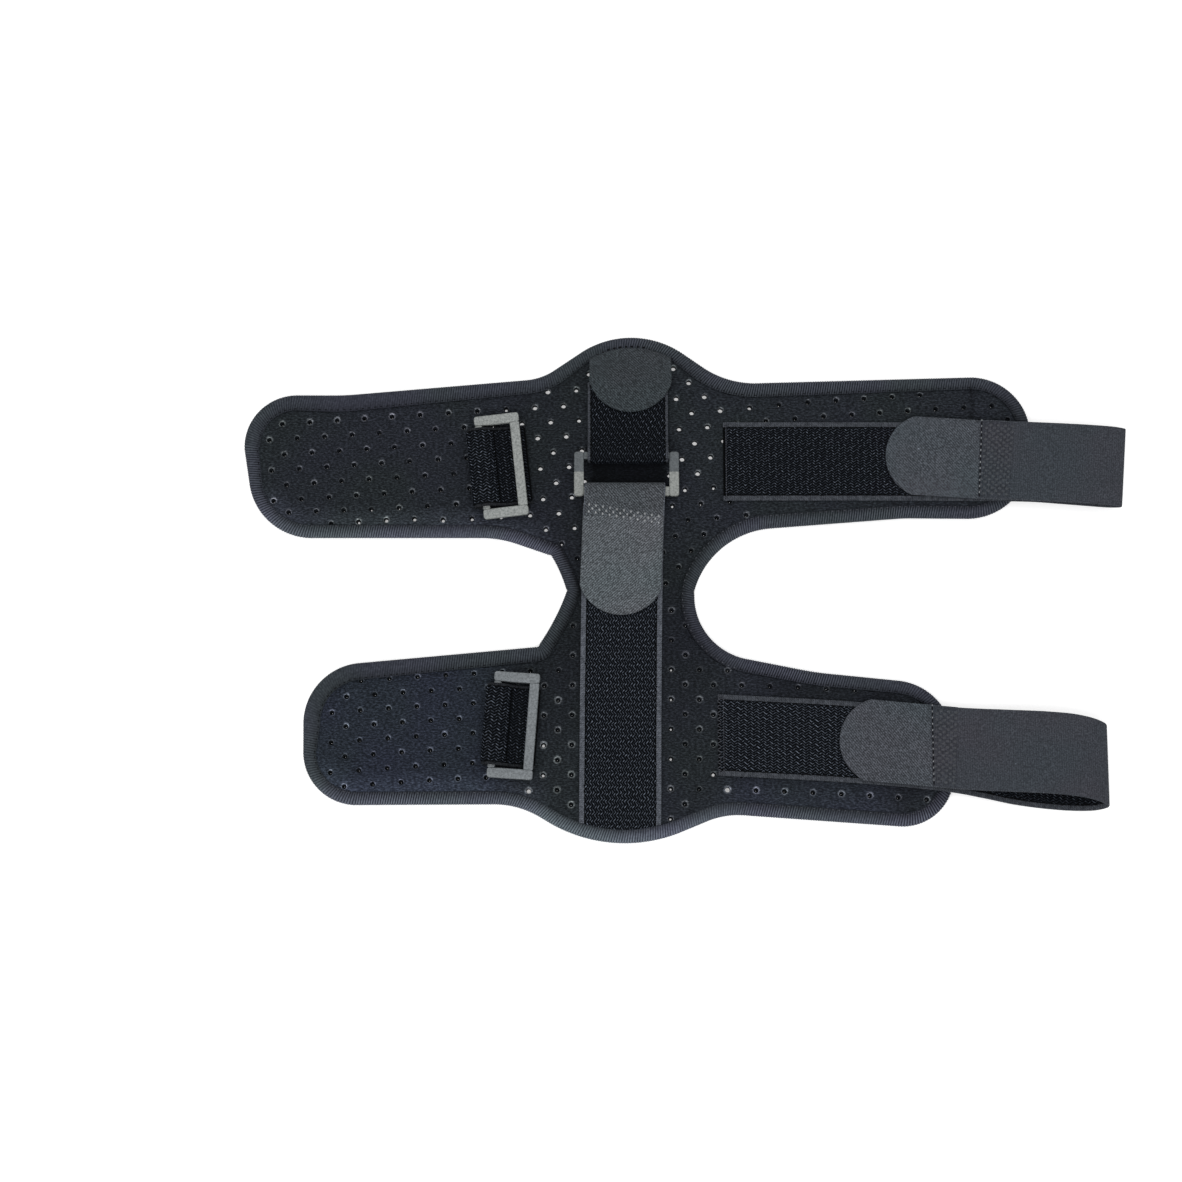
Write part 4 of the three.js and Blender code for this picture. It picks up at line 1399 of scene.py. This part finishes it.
def seam_dots(path, before_end, rows, spacing, pitch, lean, size, height):
    """Raised dots on the back of a strap beside its seam, in staggered rows that lean over its
    width."""
    row = np.arange(rows)[:, None]
    t = pitch * (np.arange(-8, 9)[None] + 0.5 * (row % 2))
    along = path.length - before_end + spacing * row + lean * t
    inside = np.abs(t) < 17.7
    return raised_dots(*strap_back(path, along[inside], t[inside]), size, height)


def seam_stitches(path, shift, length, radius):
    """A line of stitches across the back of a strap, close to its end."""
    t = np.linspace(-17.4, 17.4, 13) + shift
    middle, _, across, up = strap_back(path, np.full(len(t), path.length - 0.7), t)
    return stitch_row(middle + 0.08 * up, across, up, length, radius, 0.3)


def strap_patches(path, shown, seed, hidden_grid, light=1.0):
    """Stretches of a strap's pile: fine as far as it shows, coarser from there to the pressed
    seam."""
    end = path.length - (SEAM_PRESS + 0.5)
    return [
        (PILE_START, shown, seed, PILE_PITCH, PILE_GRID, light),
        (shown, end, seed + 1, PILE_PITCH, hidden_grid),
    ]


def dress_straps():
    """The three straps, the seams and dots on their backs, and the stitches at their sewn ends."""
    upper = band_path(UPPER_RIGHT_ROWS)
    lower = band_path(LOWER_RIGHT_ROWS)
    centre = band_path(CENTRE_ROWS, (0, 0, 90))
    right = [STRAP_GREY, WEAVE]
    patches = strap_patches(upper, 92, 11, TAB_GRID, light=0.965)
    dress_band("upper_right_strap", upper, patches, right, seam=14.5)
    patches = strap_patches(lower, 75, 21, FOLD_GRID)
    dress_band("lower_right_strap", lower, patches, right, seam=11.0)
    patches = strap_patches(centre, 114, 31, TAB_GRID)
    dress_band("centre_strap", centre, patches, [CENTRE_BACK, CENTRE_WEAVE], seam=0)
    dark = [seam_stitches(path, 0.0, 1.9, 0.3) for path in (upper, lower)]
    sew("seam_stitches", dark, DARK_THREAD, "grey_backing")
    light = [seam_stitches(path, 1.45, 0.9, 0.26) for path in (upper, lower)]
    sew("seam_knots", light, LIGHT_THREAD, "grey_backing")
    dots = [seam_dots(upper, 14.2, 8, *RIGHT_DOTS), seam_dots(lower, 10.6, 6, *RIGHT_DOTS)]
    sew("seam_dots", dots, DOT_GREY, "grey_backing")
    sew("centre_seam_dots", [seam_dots(centre, 2.6, 3, *BRIGHT_DOTS)], LIGHT_THREAD, "grey_backing")
    sew("centre_dim_dots", [seam_dots(centre, 7.4, 3, *DIM_DOTS)], CENTRE_GREY, "grey_backing")
    sewn = [
        end_stitches(upper, 1.4, 0, 30, 1.2),
        end_stitches(lower, 0.6, 60, 26, 2.2),
        end_stitches(lower, 2.6, 0, 26, 1.3),
    ]
    sew("end_stitches", sewn, SLATE_THREAD, "pile_tape")


def dress_tabs():
    """The three hook tabs and the top pad."""
    for name, tab in TABS.items():
        points, faces, uv = tab_surface(tab.length, tab.tail)
        points = placed(points, tab.at, TAB_LEVEL)
        grey = CENTRE_GREY if name == "centre_tab" else TAB_GREY
        piece = make_piece(f"{name}_felt", points, faces, [grey], uv=uv)
        settle(piece, "brace", "grey_backing", name)
    points, faces, uv = pad_surface()
    pad = make_piece("top_pad_felt", points, faces, [PAD_GREY], uv=uv)
    settle(pad, "brace", "grey_backing", "top_pad")


def dress_rings():
    """The three rings and their keepers, whose pile is coarse underneath. The left keepers' pile is
    looser, and past the loop, where it lies flat behind the ring's bar, a painted shade dulls it."""
    for side, ring in RINGS.items():
        points, faces = ring_surface(ring)
        piece = make_piece(f"{side}_ring_frame", points, faces, [RING_FINISH[side]], crease=35)
        settle(piece, ring.body, "ring_plastic", f"{side}_ring")
        path = band_path(keeper_rows(ring.reach, ring.slack), ring.keeper)
        loop_start = path.length - ring.reach - 9
        loop_end = path.length - ring.reach + 6
        end = path.length - 0.5
        if side == "centre":
            weaves, loops = [KEEPER_WEAVE, WEAVE], CENTRE_KEEPER_PILE
            patches = [
                (PILE_START, loop_start, 46, PILE_PITCH, KEEPER_GRID),
                (loop_start, end, 96),
            ]
        else:
            weaves, loops = [KEEPER_WEAVE, KEEPER_WEAVE], KEEPER_PILE
            patches = [
                (PILE_START, loop_start, 50, LOOSE_PITCH, KEEPER_GRID),
                (loop_start, loop_end, 100, LOOSE_PITCH),
                # painted shade on the keeper's flat part behind the ring's bar
                (loop_end, end, 110, LOOSE_PITCH, PILE_GRID, 0.95),
            ]
        dress_band(f"{side}_keeper", path, patches, weaves, KEEPER_SELVEDGE, loops=loops)


# Stage


CAMERA_TARGET = Vector((-0.01692, 0.00047, 0.0))
CAMERA_DISTANCE = 1.2
CAMERA_ELEVATION = 80.0
PHOTO_SIDE = 1182
METRES_PER_PIXEL = 0.00047
SENSOR = 36.0
FLOOR_HALF = 30000.0
FLOOR_LEVEL = -0.2


def aimed(name, data, at, way):
    """Camera or light at a place, turned to look along a direction."""
    thing = bpy.data.objects.new(name, data)
    thing.location = at
    thing.rotation_mode = "QUATERNION"
    thing.rotation_quaternion = way.to_track_quat("-Z", "Y")
    bpy.context.scene.collection.objects.link(thing)
    return thing


def set_camera():
    """Camera above the lower edge of the picture, so that a pixel of the photograph is its size at
    the target."""
    tilt = math.radians(CAMERA_ELEVATION)
    back = Vector((0, -math.cos(tilt), math.sin(tilt)))
    data = bpy.data.cameras.new("camera")
    data.sensor_width = SENSOR
    data.lens = SENSOR * CAMERA_DISTANCE / (PHOTO_SIDE * METRES_PER_PIXEL)
    bpy.context.scene.camera = aimed("camera", data, CAMERA_TARGET + back * CAMERA_DISTANCE, -back)


def soft_light(name, at, size, power):
    """Square area light that faces the object."""
    data = bpy.data.lights.new(name, "AREA")
    data.size = size
    data.energy = power
    aimed(name, data, at, CAMERA_TARGET - Vector(at))


def set_stage():
    """White floor with a painted glow, a little all over and most under the middle of the body, a
    painted pool of the light that reaches in below the cloth; white surroundings and two soft
    lights."""
    corners = np.array([(-1, -1), (1, -1), (1, 1), (-1, 1)]) * FLOOR_HALF
    points = np.column_stack([corners, np.full(4, FLOOR_LEVEL)])
    material, tree, shader = new_finish("floor_white_painted_glow", 0.9)
    shader.inputs["Base Color"].default_value = (0.95, 0.95, 0.95, 1)
    away = add_node(tree, "ShaderNodeVectorMath", operation="DISTANCE")
    tree.links.new(coordinates_of(tree, "Object"), away.inputs[0])
    away.inputs[1].default_value = (0.004, 0.058, 0.0)
    # painted pool of light under the middle of the body
    stops = [(0.03, (0.62, 0.62, 0.62)), (0.085, (0.5, 0.5, 0.5))]
    glow = colour_ramp(tree, away.outputs["Value"], stops)
    tree.links.new(glow, shader.inputs["Emission Color"])
    shader.inputs["Emission Strength"].default_value = 0.7
    make_piece("floor", points, [np.array([[0, 1, 2, 3]])], [material])
    world = bpy.data.worlds.new("studio")
    world.use_nodes = True
    background = world.node_tree.nodes["Background"]
    background.inputs["Color"].default_value = (1, 1, 1, 1)
    background.inputs["Strength"].default_value = 0.62
    bpy.context.scene.world = world
    soft_light("key", (-0.5, -1.1, 1.6), 1.3, 17)
    soft_light("fill", (0.6, 0.9, 1.8), 1.8, 12)
    bpy.context.scene.view_settings.view_transform = "Standard"


set_camera()
set_stage()
dress_body()
dress_straps()
dress_tabs()
dress_rings()
